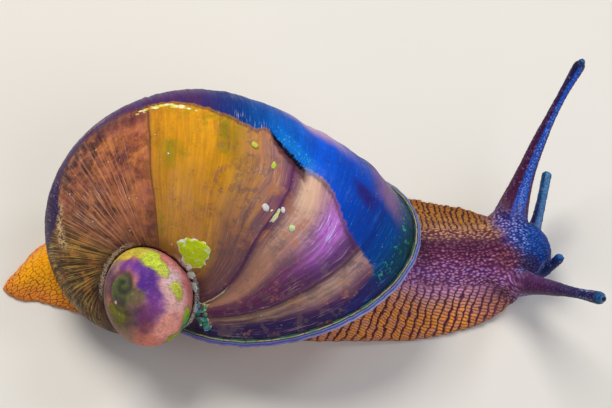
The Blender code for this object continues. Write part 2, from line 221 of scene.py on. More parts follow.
class Level:
    """A number in a node tree, which adds and multiplies as plain numbers do."""

    def __init__(self, wire, socket):
        self.wire = wire
        self.socket = socket

    def __add__(self, other):
        return self.wire.math("ADD", self, other)

    __radd__ = __add__

    def __sub__(self, other):
        return self.wire.math("SUBTRACT", self, other)

    def __rsub__(self, other):
        return self.wire.math("SUBTRACT", other, self)

    def __mul__(self, other):
        return self.wire.math("MULTIPLY", self, other)

    __rmul__ = __mul__

    def __truediv__(self, other):
        return self.wire.math("DIVIDE", self, other)

    def step(self, low, high):
        """0 below low, 1 above high and smooth between; with low above high it falls."""
        node = self.wire.add("ShaderNodeMapRange", self, low, high, 0.0, 1.0,
                             interpolation_type="SMOOTHSTEP")
        return Level(self.wire, node.outputs[0])

    def between(self, low, high, soft):
        """1 between low and high, and 0 outside, with soft ends."""
        return self.step(low - soft, low + soft) * self.step(high + soft, high - soft)


class Wiring:
    """Adds and joins the nodes of one shader or geometry tree."""

    def __init__(self, tree):
        self.tree = tree

    def feed(self, socket, value):
        if isinstance(value, Level):
            value = value.socket
        if isinstance(value, bpy.types.NodeSocket):
            self.tree.links.new(value, socket)
        elif value is not None:
            socket.default_value = value

    def add(self, kind, *values, **settings):
        """A node with its settings, whose first inputs take the values."""
        node = self.tree.nodes.new(kind)
        for name, setting in settings.items():
            setattr(node, name, setting)
        for socket, value in zip(node.inputs, values):
            self.feed(socket, value)
        return node

    def named_inputs(self, node, **values):
        for name, value in values.items():
            self.feed(node.inputs[name], value)
        return node

    def math(self, operation, *values):
        return Level(self, self.add("ShaderNodeMath", *values, operation=operation).outputs[0])

    def vector(self, x=0.0, y=0.0, z=0.0):
        return self.add("ShaderNodeCombineXYZ", x, y, z).outputs[0]

    def split(self, vector):
        node = self.add("ShaderNodeSeparateXYZ", vector)
        return [Level(self, node.outputs[i]) for i in range(3)]

    def scaled(self, vector, factor):
        node = self.add("ShaderNodeVectorMath", vector, operation="SCALE")
        self.feed(node.inputs["Scale"], factor)
        return node.outputs[0]

    def moved(self, vector, other):
        return self.add("ShaderNodeVectorMath", vector, other, operation="ADD").outputs[0]

    def multiplied(self, vector, factors):
        return self.add("ShaderNodeVectorMath", vector, factors, operation="MULTIPLY").outputs[0]

    def distance(self, vector, point):
        node = self.add("ShaderNodeVectorMath", vector, tuple(point), operation="DISTANCE")
        return Level(self, node.outputs["Value"])

    def attribute(self, name):
        """A vector stored on the mesh."""
        if self.tree.type == "GEOMETRY":
            node = self.add("GeometryNodeInputNamedAttribute", name, data_type="FLOAT_VECTOR")
            return node.outputs[0]
        return self.add("ShaderNodeAttribute", attribute_name=name).outputs["Vector"]

    def noise(self, place, scale, detail=2.0, roughness=0.5):
        node = self.add("ShaderNodeTexNoise", noise_dimensions="3D")
        self.named_inputs(node, Vector=place, Scale=scale, Detail=detail, Roughness=roughness)
        return Level(self, node.outputs[0])

    def noise_vector(self, place, scale, strength):
        node = self.add("ShaderNodeTexNoise", noise_dimensions="3D")
        self.named_inputs(node, Vector=place, Scale=scale, Detail=2.0)
        centred = self.add("ShaderNodeVectorMath", node.outputs[1], (0.5, 0.5, 0.5),
                           operation="SUBTRACT").outputs[0]
        return self.scaled(centred, strength)

    def cells(self, place, scale, randomness=1.0, dimensions="3D", feature="F1"):
        """Distance into a cell, and a colour that differs from cell to cell."""
        node = self.add("ShaderNodeTexVoronoi", voronoi_dimensions=dimensions, feature=feature)
        self.named_inputs(node, Vector=place, Scale=scale, Randomness=randomness)
        return Level(self, node.outputs[0]), node.outputs[1]

    def chance(self, vector):
        """A random number from 0 to 1 that depends on nothing but the vector."""
        node = self.add("ShaderNodeTexWhiteNoise", vector, noise_dimensions="3D")
        return Level(self, node.outputs[0])

    def blend(self, share, under, over, way="MIX"):
        """One colour laid over another. A colour may be a web colour code."""
        node = self.add("ShaderNodeMix", data_type="RGBA", blend_type=way)
        self.feed(node.inputs[0], share)
        for socket, shade in ((node.inputs[6], under), (node.inputs[7], over)):
            self.feed(socket, tint(shade) if isinstance(shade, str) else shade)
        return node.outputs[2]

    def coats(self, shade, *coats):
        """A colour with others laid over it in turn. Each coat is (share, colour)."""
        for share, over in coats:
            shade = self.blend(share, shade, over)
        return shade

    def ramp(self, value, stops):
        """Colours or levels along a value. Each stop is (value, colour or level)."""
        low, high = stops[0][0], stops[-1][0]
        node = self.add("ShaderNodeValToRGB", (value - low) / (high - low))
        scale = node.color_ramp
        scale.interpolation = "LINEAR"
        while len(scale.elements) < len(stops):
            scale.elements.new(1.0)
        for element, (place, shade) in zip(scale.elements, stops):
            element.position = (place - low) / (high - low)
            if isinstance(shade, str):
                shade = tint(shade)
            elif isinstance(shade, float):
                shade = (shade, shade, shade, 1.0)
            element.color = shade
        return node.outputs[0]

    def level_ramp(self, value, stops):
        return Level(self, self.add("ShaderNodeRGBToBW", self.ramp(value, stops)).outputs[0])

    def group(self, name, **values):
        """The outputs, in order, of a shared node group that takes the values."""
        node = self.add("ShaderNodeGroup", node_tree=bpy.data.node_groups[name])
        self.named_inputs(node, **values)
        return [Level(self, output) for output in node.outputs]

    def bump(self, height, distance, strength):
        node = self.add("ShaderNodeBump")
        self.named_inputs(node, Strength=strength, Distance=distance, Height=height)
        return node.outputs[0]


def new_material(name):
    material = bpy.data.materials.new(name)
    material.use_nodes = True
    return material, Wiring(material.node_tree), material.node_tree.nodes["Principled BSDF"]


def finish_surface(wire, shader, base, roughness, normal, coat=0.0, coat_roughness=0.1,
                   shine=0.5):
    """Join the pattern to the shader, and set the coat and shine that are the same all over."""
    wire.named_inputs(shader, **{"Base Color": base, "Roughness": roughness, "Normal": normal})
    shader.inputs["Coat Weight"].default_value = coat
    shader.inputs["Coat Roughness"].default_value = coat_roughness
    shader.inputs["Specular IOR Level"].default_value = shine


def new_group(name, inputs, outputs):
    """An empty shader node group. Inputs are {name: (kind, default)}, outputs {name: kind}."""
    tree = bpy.data.node_groups.new(name, "ShaderNodeTree")
    for label, (kind, default) in inputs.items():
        socket = tree.interface.new_socket(label, in_out="INPUT", socket_type=kind)
        if default is not None:
            socket.default_value = default
    for label, kind in outputs.items():
        tree.interface.new_socket(label, in_out="OUTPUT", socket_type=kind)
    wire = Wiring(tree)
    source, sink = wire.add("NodeGroupInput"), wire.add("NodeGroupOutput")
    return wire, source.outputs, sink.inputs


def growth_streaks():
    """Fine lines of growth: Across counts them, and Along is how they fade and start again."""
    wire, given, made = new_group(
        "growth_streaks",
        {"Across": ("NodeSocketFloat", 0.0), "Along": ("NodeSocketFloat", 0.0),
         "Fineness": ("NodeSocketFloat", 40.0)},
        {"Broad": "NodeSocketFloat", "Fine": "NodeSocketFloat", "Hair": "NodeSocketFloat"})
    across = Level(wire, given["Across"]) * given["Fineness"]
    along = Level(wire, given["Along"])
    broad = wire.noise(wire.vector(across * 0.25, along * 1.1, 3.0), 1.0, 2.0)
    fine = wire.noise(wire.vector(across, along * 2.0, 7.0), 1.0, 3.0, 0.6)
    hair = wire.noise(wire.vector(across * 2.6, along * 4.0, 11.0), 1.0, 2.0, 0.7)
    wire.feed(made["Broad"], broad.step(0.36, 0.64))
    wire.feed(made["Fine"], fine.step(0.38, 0.62))
    wire.feed(made["Hair"], hair.step(0.56, 0.74))


def weathering():
    """Grime, pale scuffs and pits of an old surface, from a place in millimetres."""
    wire, given, made = new_group(
        "weathering",
        {"Place": ("NodeSocketVector", None), "Scale": ("NodeSocketFloat", 1.0)},
        {"Grime": "NodeSocketFloat", "Scuff": "NodeSocketFloat", "Pits": "NodeSocketFloat"})
    place = wire.scaled(given["Place"], given["Scale"])
    cloud = wire.noise(place, 0.22, 4.0, 0.6)
    speck = wire.noise(place, 1.7, 3.0, 0.6)
    pits, _ = wire.cells(place, 1.1)
    wire.feed(made["Grime"], cloud.step(0.42, 0.68) * speck.step(0.35, 0.6))
    wire.feed(made["Scuff"], speck.step(0.66, 0.76) * cloud.step(0.6, 0.45))
    wire.feed(made["Pits"], pits.step(0.16, 0.05) * cloud.step(0.4, 0.55))


# ---------------------------------------------------------------- mesh helpers

def snail_shift():
    """From the snail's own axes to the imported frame, in millimetres, read from an eye."""
    low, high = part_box("eye_left")
    return (low + high) / 2 / MM - eye_centre(UPPER_LEFT)


def eye_centre(feeler):
    base, tip, bend = feeler
    ahead = (tip - (base + tip) / 2 - bend).normalized()
    return tip - ahead * (EYE_RADIUS - EYE_PROUD)


def new_piece(name, bm):
    """A mesh object, still in millimetres, from a bmesh that is used up."""
    mesh = bpy.data.meshes.new(name)
    bm.to_mesh(mesh)
    bm.free()
    piece = bpy.data.objects.new(name, mesh)
    bpy.context.scene.collection.objects.link(piece)
    return piece


def read_vectors(rows, field):
    """One vector from each row of a mesh's data."""
    flat = np.empty(len(rows) * 3, np.float32)
    rows.foreach_get(field, flat)
    return flat.reshape(-1, 3).astype(float)


def points_of(mesh):
    return read_vectors(mesh.vertices, "co")


def put_points(mesh, points):
    mesh.vertices.foreach_set("co", np.asarray(points, np.float32).ravel())
    mesh.update()


def store(mesh, name, values):
    """Keep a vector for each vertex, under a name that a material can read."""
    columns = np.zeros((len(mesh.vertices), 3), np.float32)
    values = np.asarray(values, np.float32)
    values = values[:, None] if values.ndim == 1 else values
    columns[:, :values.shape[1]] = values
    layer = mesh.attributes.get(name) or mesh.attributes.new(name, "FLOAT_VECTOR", "POINT")
    layer.data.foreach_set("vector", columns.ravel())


def formed_cylinder(name, segments, rings, place, kept=None):
    """A closed cylinder whose points go where place(angles, alongs) says, along from 0 to 1.

    The angle and along of each vertex stay on the mesh when kept names an attribute.
    """
    bm = bmesh.new()
    bmesh.ops.create_cone(bm, cap_ends=True, cap_tris=False, segments=segments,
                          radius1=1.0, radius2=1.0, depth=1.0)
    sides = [e for e in bm.edges if abs(e.verts[0].co.z - e.verts[1].co.z) > 0.5]
    bmesh.ops.subdivide_edges(bm, edges=sides, cuts=rings - 1)
    piece = new_piece(name, bm)
    points = points_of(piece.data)
    angles, alongs = np.arctan2(points[:, 1], points[:, 0]), np.clip(points[:, 2] + 0.5, 0, 1)
    if kept:
        store(piece.data, kept, np.stack([angles, alongs], 1))
    put_points(piece.data, place(angles, alongs))
    return piece


def tidy(piece, near=0.004):
    """Merge vertices that meet, drop faces with no area and point the rest outwards."""
    bm = bmesh.new()
    bm.from_mesh(piece.data)
    bmesh.ops.remove_doubles(bm, verts=bm.verts, dist=near)
    bmesh.ops.dissolve_degenerate(bm, dist=near, edges=bm.edges)
    bmesh.ops.recalc_face_normals(bm, faces=bm.faces)
    bm.to_mesh(piece.data)
    bm.free()


def ellipsoid(name, centre, size, segments=48, rings=28):
    bm = bmesh.new()
    bmesh.ops.create_uvsphere(bm, u_segments=segments, v_segments=rings, radius=1.0)
    shape = Matrix.Translation(centre) @ Matrix.Diagonal(size).to_4x4()
    bmesh.ops.transform(bm, matrix=shape, verts=bm.verts)
    return new_piece(name, bm)


def apply_modifiers(piece):
    """Swap a piece's mesh for the one that its modifiers make."""
    graph = bpy.context.evaluated_depsgraph_get()
    mesh = bpy.data.meshes.new_from_object(piece.evaluated_get(graph))
    piece.modifiers.clear()
    piece.data = mesh


def combine(piece, others, operation):
    for other in others:
        step = piece.modifiers.new(operation.lower(), "BOOLEAN")
        step.operation = operation
        step.solver = "EXACT"
        step.object = other
        apply_modifiers(piece)


def remove(*items):
    for item in items:
        bpy.data.objects.remove(item, do_unlink=True)


def join_meshes(piece, *others):
    """Add other pieces' meshes to this one's, and drop them."""
    bm = bmesh.new()
    for item in (piece, *others):
        bm.from_mesh(item.data)
    bm.to_mesh(piece.data)
    bm.free()
    remove(*others)


def finish_piece(piece, material, replaced=()):
    """Material, smooth shading and metres, then the piece takes its place in the frame."""
    piece.data.materials.clear()
    piece.data.materials.append(material)
    move = Matrix.Diagonal((MM, MM, MM, 1.0)) @ Matrix.Translation(snail_shift())
    piece.data.transform(move)
    piece.data.shade_smooth()
    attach(piece, "root")
    if replaced:
        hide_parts(*replaced)


def smooth_step(values, low, high):
    share = np.clip((values - low) / (high - low), 0, 1)
    return share * share * (3 - 2 * share)


def bell(values, middle, width):
    return np.exp(-((values - middle) / width) ** 2)


def smooth_through(stations, x):
    """Values at x on smooth curves through the stations, whose first number is x."""
    table, x = np.array(stations, float), np.asarray(x, float)
    last = len(table) - 1
    i = np.clip(np.searchsorted(table[:, 0], x) - 1, 0, last - 1)
    left, right = table[i], table[i + 1]
    before, after = table[np.maximum(i - 1, 0)], table[np.minimum(i + 2, last)]
    width = right[:, :1] - left[:, :1]
    u = np.clip((x[:, None] - left[:, :1]) / width, 0, 1)
    slope_in = (right - before) / (right[:, :1] - before[:, :1]) * width
    slope_out = (after - left) / (after[:, :1] - left[:, :1]) * width
    values = ((2 * u**3 - 3 * u**2 + 1) * left + (u**3 - 2 * u**2 + u) * slope_in
              + (3 * u**2 - 2 * u**3) * right + (u**3 - u**2) * slope_out)
    return values[:, 1:].T


def ripple(values, pitch, seed):
    """Smooth random heights from -1 to 1, about one swell to each pitch."""
    count = 4096
    knots = np.random.default_rng(seed).uniform(-1, 1, count)
    places = values / pitch + count / 2
    whole = np.floor(places).astype(int)
    share = smooth_step(places - whole, 0, 1)
    return knots[whole % count] * (1 - share) + knots[(whole + 1) % count] * share


# ---------------------------------------------------------------- shell shape

def coil_frame():
    """The axis to the spire, and two directions across it."""
    axis = Vector((math.cos(SPIRE_HEADING) * math.cos(SPIRE_RISE),
                   math.sin(SPIRE_HEADING) * math.cos(SPIRE_RISE),
                   math.sin(SPIRE_RISE)))
    across = Vector((1, 0, 0))
    across = (across - axis * across.dot(axis)).normalized()
    return np.array(axis), np.array(across), np.array(axis.cross(across))


def mouth_points(angles, grow=0.0, forward=0.0):
    """Points of the mouth's plane as (outward, along growth, towards the spire)."""
    turn = Matrix.Rotation(MOUTH_YAW, 3, "Z") @ Matrix.Rotation(MOUTH_LEAN, 3, "X")
    long_way = np.array(turn @ Vector((math.cos(MOUTH_ROLL), 0, math.sin(MOUTH_ROLL))))
    short_way = np.array(turn @ Vector((-math.sin(MOUTH_ROLL), 0, math.cos(MOUTH_ROLL))))
    normal = np.array(turn @ Vector((0, 1, 0)))
    grow = np.broadcast_to(grow, angles.shape)[:, None]
    forward = np.broadcast_to(forward, angles.shape)[:, None]
    return (np.array((WHORL_RADIUS, 0.0, -WHORL_DROP))
            + long_way * np.cos(angles)[:, None] * (MOUTH_LONG + grow)
            + short_way * np.sin(angles)[:, None] * (MOUTH_SHORT + grow)
            + normal * forward)


def coil_points(local, turns):
    """Where points of the mouth's frame lie when the coil is at given turns."""
    axis, across, third = coil_frame()
    bearing = (COIL_PHASE - turns)[:, None]
    outward = across * np.cos(bearing) + third * np.sin(bearing)
    growth = across * np.sin(bearing) - third * np.cos(bearing)
    scale = np.exp(COIL_GROWTH * turns)[:, None]
    return (np.array(SHELL_ORIGIN)
            + scale * (local[:, :1] * outward + local[:, 1:2] * growth + local[:, 2:] * axis))


def whorl_points(turns, angles, lift=0.0):
    """Points of the body whorl's surface, lifted off it by a height."""
    waist = bell(turns, WAIST_TURN, WAIST_SPAN)
    local = mouth_points(angles, lift - WAIST_DEPTH * waist)
    local[:, :2] *= (local[:, :1] > 0)
    return coil_points(local, turns)


def lean_of(turns, angles):
    """How far growth lines run forwards near the suture, and back near the outer band."""
    window = smooth_step(turns, -1.5, -0.75) * (1 - smooth_step(turns, -0.45, -0.2))
    near_band = 1 - smooth_step(angles, 0.5, 0.95)
    seam = smooth_step(turns, -1.9, -1.6) * (1 - smooth_step(turns, -1.45, -1.2))
    return ((0.25 * smooth_step(angles, 1.3, 2.25) - 0.05 * near_band) * window
            + 0.05 * seam * (1 - smooth_step(angles, 0.5, 1.5)))


WHORL_SEGMENTS = 168
WHORL_RINGS = 520


def whorl_turn(along):
    """The turn at a share of the whorl's length, with rings evenly spaced over the shell."""
    span = MOUTH_TURN - FIRST_TURN
    return FIRST_TURN + np.log1p(along * math.expm1(COIL_GROWTH * span)) / COIL_GROWTH


# The notch along the outer band's edge, as (turn, angle)
CHIP_PATH = ((-0.88, 0.34), (-0.85, 0.385), (-0.83, 0.45), (-0.78, 0.525), (-0.73, 0.56),
             (-0.67, 0.595), (-0.6, 0.61))


def whorl_relief(turns, angles, rib_height):
    """Growth ribs, the ridges before the lip and a chip along the edge of the outer band."""
    growth = turns - lean_of(turns, angles)
    late = smooth_step(turns, -1.6, -0.7)
    relief = rib_height * (0.9 * ripple(growth, 0.11, 3) * (0.35 + late)
                           + 0.35 * ripple(growth, 0.034, 5)
                           + 0.22 * ripple(growth, 0.012, 9))
    crease = 0.35 * bell(growth, -0.665, 0.012) - 0.3 * bell(growth, -0.645, 0.014)
    relief += crease * smooth_step(angles, 0.5, 0.8)
    relief += 0.25 * bell(growth, -1.57, 0.012) - 0.2 * bell(growth, -1.545, 0.012)
    relief += 0.3 * bell(growth, -0.235, 0.014) - 0.25 * bell(growth, -0.215, 0.012)
    aside = angles - np.interp(turns, *zip(*CHIP_PATH))
    chip = smooth_step(turns, -0.88, -0.84) * (1 - smooth_step(turns, -0.68, -0.62))
    relief -= 0.7 * chip * bell(aside, 0.0, 0.03) * (1 + 0.4 * ripple(turns, 0.02, 12))
    relief += 0.25 * chip * bell(aside, -0.09, 0.05) * (1 + ripple(turns * 9 + angles * 7, 0.2, 13))
    return relief * smooth_step(turns, -5.0, -4.0)


def shape_whorl(rib_height):
    """The coiled tube with its ribs, on the young shell's base."""
    def place(angles, alongs):
        turns = whorl_turn(alongs)
        return whorl_points(turns, angles, whorl_relief(turns, angles, rib_height / MM))

    whorl = formed_cylinder("shell_body_whorl_skin", WHORL_SEGMENTS, WHORL_RINGS, place, "coil")
    angles, alongs, _ = read_vectors(whorl.data.attributes["coil"].data, "vector").T
    store(whorl.data, "coil", np.stack([whorl_turn(alongs), angles], 1))
    base = ellipsoid("base", UNDER_DOME_CENTRE, UNDER_DOME_SIZE)
    oldest = (FIRST_TURN, math.radians(120))
    store(base.data, "coil", np.tile(oldest, (len(base.data.vertices), 1)))
    join_meshes(whorl, base)
    tidy(whorl)
    store(whorl.data, "spot", points_of(whorl.data))
    return whorl


def whorl_fields(wire):
    """Where a point lies on the coil, with the streaks and clouds that its colours share."""
    turn, angle, _ = wire.split(wire.attribute("coil"))
    spot = wire.attribute("spot")
    waver = wire.noise(spot, 0.16, 3.0) - 0.5

    # Growth lines lean as the ribs do in lean_of
    window = turn.step(-1.5, -0.75) * turn.step(-0.2, -0.45)
    lean = angle.step(1.3, 2.25) * 0.25 - angle.step(0.95, 0.5) * 0.05
    seam = turn.between(-1.75, -1.33, 0.15) * angle.step(1.5, 0.5)
    growth = turn - lean * window - seam * 0.05 + waver * 0.03
    near, wide, far = (
        wire.group("growth_streaks", Across=growth, Along=angle * reach, Fineness=fineness)
        for fineness, reach in ((60.0, 1.0), (21.0, 1.0), (46.0, 0.4)))
    return SimpleNamespace(
        turn=turn, angle=angle, spot=spot, waver=waver, growth=growth,
        broad=near[0], fine=near[1], hair=near[2], wide_broad=wide[0], wide_fine=wide[1],
        long_broad=far[0], long_fine=far[1], long_hair=far[2],
        mottle=wire.noise(spot, 0.42, 5.0, 0.65),
        cloud=wire.noise(wire.moved(spot, (40.0, 0.0, 0.0)), 0.2, 4.0, 0.6))


def whorl_base(wire, looks, at):
    """The fields of colour that follow the growth lines, outside and near the suture."""
    main = wire.ramp(at.growth, (
        (-5.2, looks.spire_end), (-3.9, "#5a4824"), (-3.4, "#7a6034"), (-3.0, "#9a6a42"),
        (-2.6, "#a5674a"), (-2.3, "#a0604a"), (-2.05, "#a66448"), (-1.85, "#b87048"),
        (-1.66, looks.copper), (-1.585, "#96583c"), (-1.56, "#c07f26"), (-1.42, looks.ochre),
        (-1.2, "#dd9a22"), (-1.05, "#d6930f"), (-0.95, "#b9883c"), (-0.86, "#a97450"),
        (-0.78, "#a2756a"), (-0.7, "#86586a"), (-0.655, "#6f3f5e"), (-0.62, "#84566a"),
        (-0.57, "#dcb09a"), (-0.5, looks.tan), (-0.45, "#c094a0"), (-0.39, "#a0669a"),
        (-0.335, "#8e529c"), (-0.29, "#68407e"), (-0.245, "#4e2c54"), (-0.225, "#b08c84"),
        (-0.16, "#a37c80"), (-0.115, "#5f3560"), (-0.085, looks.navy), (-0.03, "#1f2146")))
    inner = wire.ramp(at.growth, (
        (-5.2, looks.spire_end), (-3.6, "#6a5626"), (-3.0, "#8a683a"), (-2.6, "#9a6a48"),
        (-2.1, "#b4724e"), (-1.7, "#ad684a"), (-1.585, "#945a3c"), (-1.56, "#bc8440"),
        (-1.3, "#cc9150"), (-1.05, "#c08450"), (-0.9, "#8f6250"), (-0.72, "#7c5558"),
        (-0.65, "#5b3450"), (-0.6, "#7d5e5e"), (-0.5, "#a27a66"), (-0.42, "#7a4c5a"),
        (-0.36, "#6b3158"), (-0.29, looks.plum), (-0.245, "#4e2c4a"), (-0.21, "#8a6c62"),
        (-0.165, "#6a4a52"), (-0.12, looks.navy), (-0.03, "#22204a")))
    return wire.blend((at.angle + at.waver * 0.3).step(1.0, 1.6), main, inner)


def old_shell(wire, shell, at):
    """Copper, with dark and pale rays that tighten towards the dome."""
    growth, angle, mottle, cloud = at.growth, at.angle, at.mottle, at.cloud
    tone = wire.noise(wire.moved(at.spot, (0.0, 17.0, 0.0)), 0.36, 5.0, 0.7)
    stray = wire.noise(at.spot, 0.8, 5.0, 0.75)
    old = growth.step(-1.545, -1.6)
    oldest = old * growth.step(-2.55, -2.95)
    to_dome = angle.step(0.9, 1.6)
    ray = old * (0.3 + 0.7 * mottle.step(0.4, 0.6))
    rose = old * cloud.step(0.52, 0.4) * growth.step(-2.9, -2.4)
    rimward = angle.step(1.25, 0.85) * growth.step(-1.72, -2.1)
    bright = old * at.long_fine.step(0.3, 0.0) * growth.step(-1.75, -2.1)
    scratch = old * angle.between(1.15, 1.5, 0.12) * growth.between(-2.5, -2.05, 0.1)
    pale_ray = old * at.long_hair * (0.3 + 0.7 * to_dome) * growth.step(-1.62, -1.85)
    scribble = (growth.between(-3.0, -2.5, 0.06)
                * (angle + (growth + 2.56) * 0.78).between(0.94, 1.12, 0.08)
                * stray.between(0.465, 0.545, 0.008))
    scrape = growth.between(-2.45, -1.75, 0.1) * angle.between(0.36, 0.47, 0.04)
    return wire.coats(
        shell,
        (old * at.wide_broad * 0.3, "#7c4a30"),
        (rose * 0.55, "#c8785a"),
        (old * tone.step(0.52, 0.62) * 0.55, "#7e4244"),
        (old * tone.step(0.48, 0.38) * 0.7, "#d08444"),
        (old * cloud.step(0.5, 0.58) * mottle.step(0.42, 0.54) * 0.5, "#46283a"),
        (rimward * mottle.step(0.44, 0.54) * 0.75, "#483a38"),
        (ray * at.long_fine * growth.step(-1.64, -1.9) * 0.75, "#3e2024"),
        (bright * (0.15 + 0.45 * to_dome), "#dc9470"),
        (scratch * at.hair * 0.9, "#f8c8bc"),
        (pale_ray, "#f4c0a4"),
        (oldest * at.long_broad * 0.55, "#33221c"),
        (oldest * tone.step(0.44, 0.52) * 0.5, "#3a2a20"),
        (oldest * bright * 0.7, "#b88c3c"),
        (oldest * at.long_hair.step(0.0, 0.6), "#e4cc5c"),
        (scribble, "#ecc898"),
        (scrape * mottle.step(0.45, 0.55) * 0.8, "#c9a898"))


def ochre_field(wire, shell, at):
    """Honey and orange rays with olive blotches."""
    growth, angle, mottle = at.growth, at.angle, at.mottle
    golden = growth.between(-1.56, -0.97, 0.07)
    olive = golden * at.cloud.step(0.52, 0.62) * (0.4 + 0.6 * at.broad)
    plum = growth.between(-1.95, -1.6, 0.06) * angle.between(0.2, 0.68, 0.12)
    verge = golden * angle.between(0.3, 0.7, 0.12) * mottle.step(0.5, 0.42)
    bruise = growth.between(-1.1, -0.98, 0.05) * angle.between(0.55, 0.95, 0.15)
    dim = golden * angle.step(0.9, 1.6) * mottle.step(0.5, 0.62)
    rusty = growth.between(-1.12, -0.9, 0.05) * mottle.step(0.5, 0.58)
    return wire.coats(
        shell,
        (golden * at.wide_broad * 0.5, "#b9791c"),
        (golden * at.fine * 0.4, "#eca51a"),
        (golden * at.wide_fine * 0.3, "#8f6a22"),
        (olive * 0.7, "#86821c"),
        (plum * (0.5 + 0.3 * at.wide_fine), "#4e2a3a"),
        (verge * growth.step(-1.5, -1.3) * 0.55, "#8e8a1c"),
        (bruise * 0.6, "#7a6a1c"),
        (dim * 0.45, "#b87850"),
        (rusty * (1.0 - at.fine) * 0.7, "#8a5a48"))


def last_half_whorl(wire, shell, at):
    """Mixed warm and violet rays over tan, with dull patches and lines where growth stopped."""
    growth, angle, mottle, wide_fine = at.growth, at.angle, at.mottle, at.wide_fine
    young = growth.step(-1.02, -0.86)
    warm = young * growth.step(-0.6, -0.8) * wide_fine * angle.step(1.8, 1.2)
    calm = 1.0 - growth.between(-0.59, -0.47, 0.03) * angle.step(1.4, 1.0) * 0.8
    pale = growth.between(-0.6, -0.49, 0.03) * angle.between(0.5, 0.95, 0.15)
    glow = growth.between(-0.62, -0.45, 0.04) * angle.step(1.2, 1.5)
    ember = young * at.cloud.step(0.54, 0.62) * mottle.step(0.56, 0.46)
    low = growth.between(-0.2, -0.15, 0.025) * angle.step(0.8, 1.0)
    return wire.coats(
        shell,
        (young * at.fine * 0.3, "#4a2840"),
        (warm * 0.6, "#cc9040"),
        (young * calm * mottle.step(0.52, 0.6) * 0.5, "#6b5658"),
        (pale * 0.5, "#eec8a4"),
        (glow * 0.4, "#c48a6c"),
        (ember * 0.6, "#b27552"),
        (young * at.hair * 0.35, "#e6bcc0"),
        (low * wide_fine * 0.6, "#c2a07e"),
        (growth.between(-0.668, -0.65, 0.009) * 0.8, "#5c2866"),
        (growth.between(-0.244, -0.232, 0.008) * 0.8, "#3d1c40"),
        (growth.between(-1.583, -1.572, 0.006) * 0.7, "#4b3a2c"))


def whorl_band(wire, looks, shell, at):
    """The violet and blue band round the outside of the coil, with its ragged edge."""
    turn, angle, hair = at.turn, at.angle, at.hair
    edge = wire.level_ramp(turn, (
        (-5.2, 0.30), (-3.3, 0.4), (-3.0, 0.85), (-2.78, 1.08), (-2.6, 1.05), (-2.44, 0.82),
        (-2.25, 0.6), (-1.95, 0.44), (-1.6, 0.36), (-1.37, 0.35), (-1.21, 0.42), (-1.05, 0.48),
        (-0.92, 0.5), (-0.87, 0.4), (-0.8, 0.51), (-0.73, 0.56), (-0.67, 0.59), (-0.6, 0.555),
        (-0.53, 0.53), (-0.46, 0.58), (-0.35, 0.7), (-0.24, 0.735), (-0.16, 0.7),
        (-0.115, 0.68), (-0.085, 0.95), (-0.03, 1.1)))
    torn = wire.noise(at.spot, 0.9, 4.0, 0.65) - 0.5
    ragged = edge + (at.fine - 0.5) * 0.012 + torn * 0.09
    inside_band = (angle - ragged).step(0.02, -0.02) * angle.step(-1.3, -0.7)
    band = wire.ramp(turn + at.waver * 0.05, (
        (-5.2, "#1f1428"), (-3.3, "#3a2438"), (-2.95, "#2c1636"), (-2.6, "#301048"),
        (-2.1, "#421648"), (-1.6, looks.band_violet), (-1.25, "#4c2a5c"), (-1.12, "#2a2c6c"),
        (-1.0, "#0a3a80"), (-0.86, "#0456ac"), (-0.7, "#0560cc"), (-0.58, "#0557da"),
        (-0.4, looks.band_blue), (-0.22, "#013a94"), (-0.12, "#02417e"), (-0.085, "#0a3c5c"),
        (-0.055, "#123c3c"), (-0.03, "#0d2a24")))
    by_lip = turn.step(-0.13, -0.08) * angle.step(0.5, 0.85)
    crossing = hair * turn.step(-2.2, -2.4) * torn.step(-0.04, 0.04)
    dark_spot = wire.distance(wire.vector(turn * 1.6, angle, 0.0), (-0.53, 0.29, 0.0))
    dark_spot = (dark_spot + at.waver * 0.2).step(0.15, 0.04)
    wedge = turn.between(-0.27, -0.13, 0.05) * angle.between(-0.35, 0.16, 0.1)
    rim = turn.between(-0.72, -0.44, 0.12) * angle.between(-0.42, -0.07, 0.13)
    green = turn.between(-0.12, -0.07, 0.02) * torn.step(0.06, 0.14)
    band = wire.coats(
        band,
        (by_lip, looks.navy),
        (angle.step(0.1, -0.5) * 0.35, "#1c1850"),
        (at.broad * 0.3, "#03206e"),
        (torn.step(0.06, 0.16) * 0.35, "#0a2f86"),
        (hair * turn.step(-1.3, -0.9) * 0.3, "#2f9ae8"),
        (hair * turn.step(-1.2, -1.4) * 0.25, "#7c5a78"),
        (crossing, "#c89890"),
        (dark_spot * 0.75, "#2a0c58"),
        (wedge * 0.75, "#8a6486"),
        (rim * 0.85, "#c09ab4"),
        (green * angle.step(0.85, 0.6) * 0.7, "#38b478"))

    frayed = wire.noise(at.spot, 1.8, 4.0, 0.7) - 0.5
    worn = ((turn + torn * 0.3).between(-2.12, -1.79, 0.05)
            * (angle - torn * 0.25).between(0.17, 0.3, 0.02) * frayed.step(-0.03, 0.07))
    fringe = (angle - ragged).between(0.005, 0.05, 0.02) * turn.step(-0.2, -0.3)
    comb = turn.between(-1.03, -0.86, 0.03) * angle.between(0.36, 0.53, 0.05)
    return wire.coats(shell, (inside_band, band), (worn * 0.5, "#d4b8a4"),
                      (fringe * 0.6, "#3b2238"), (comb * hair, "#c9c6dc"))


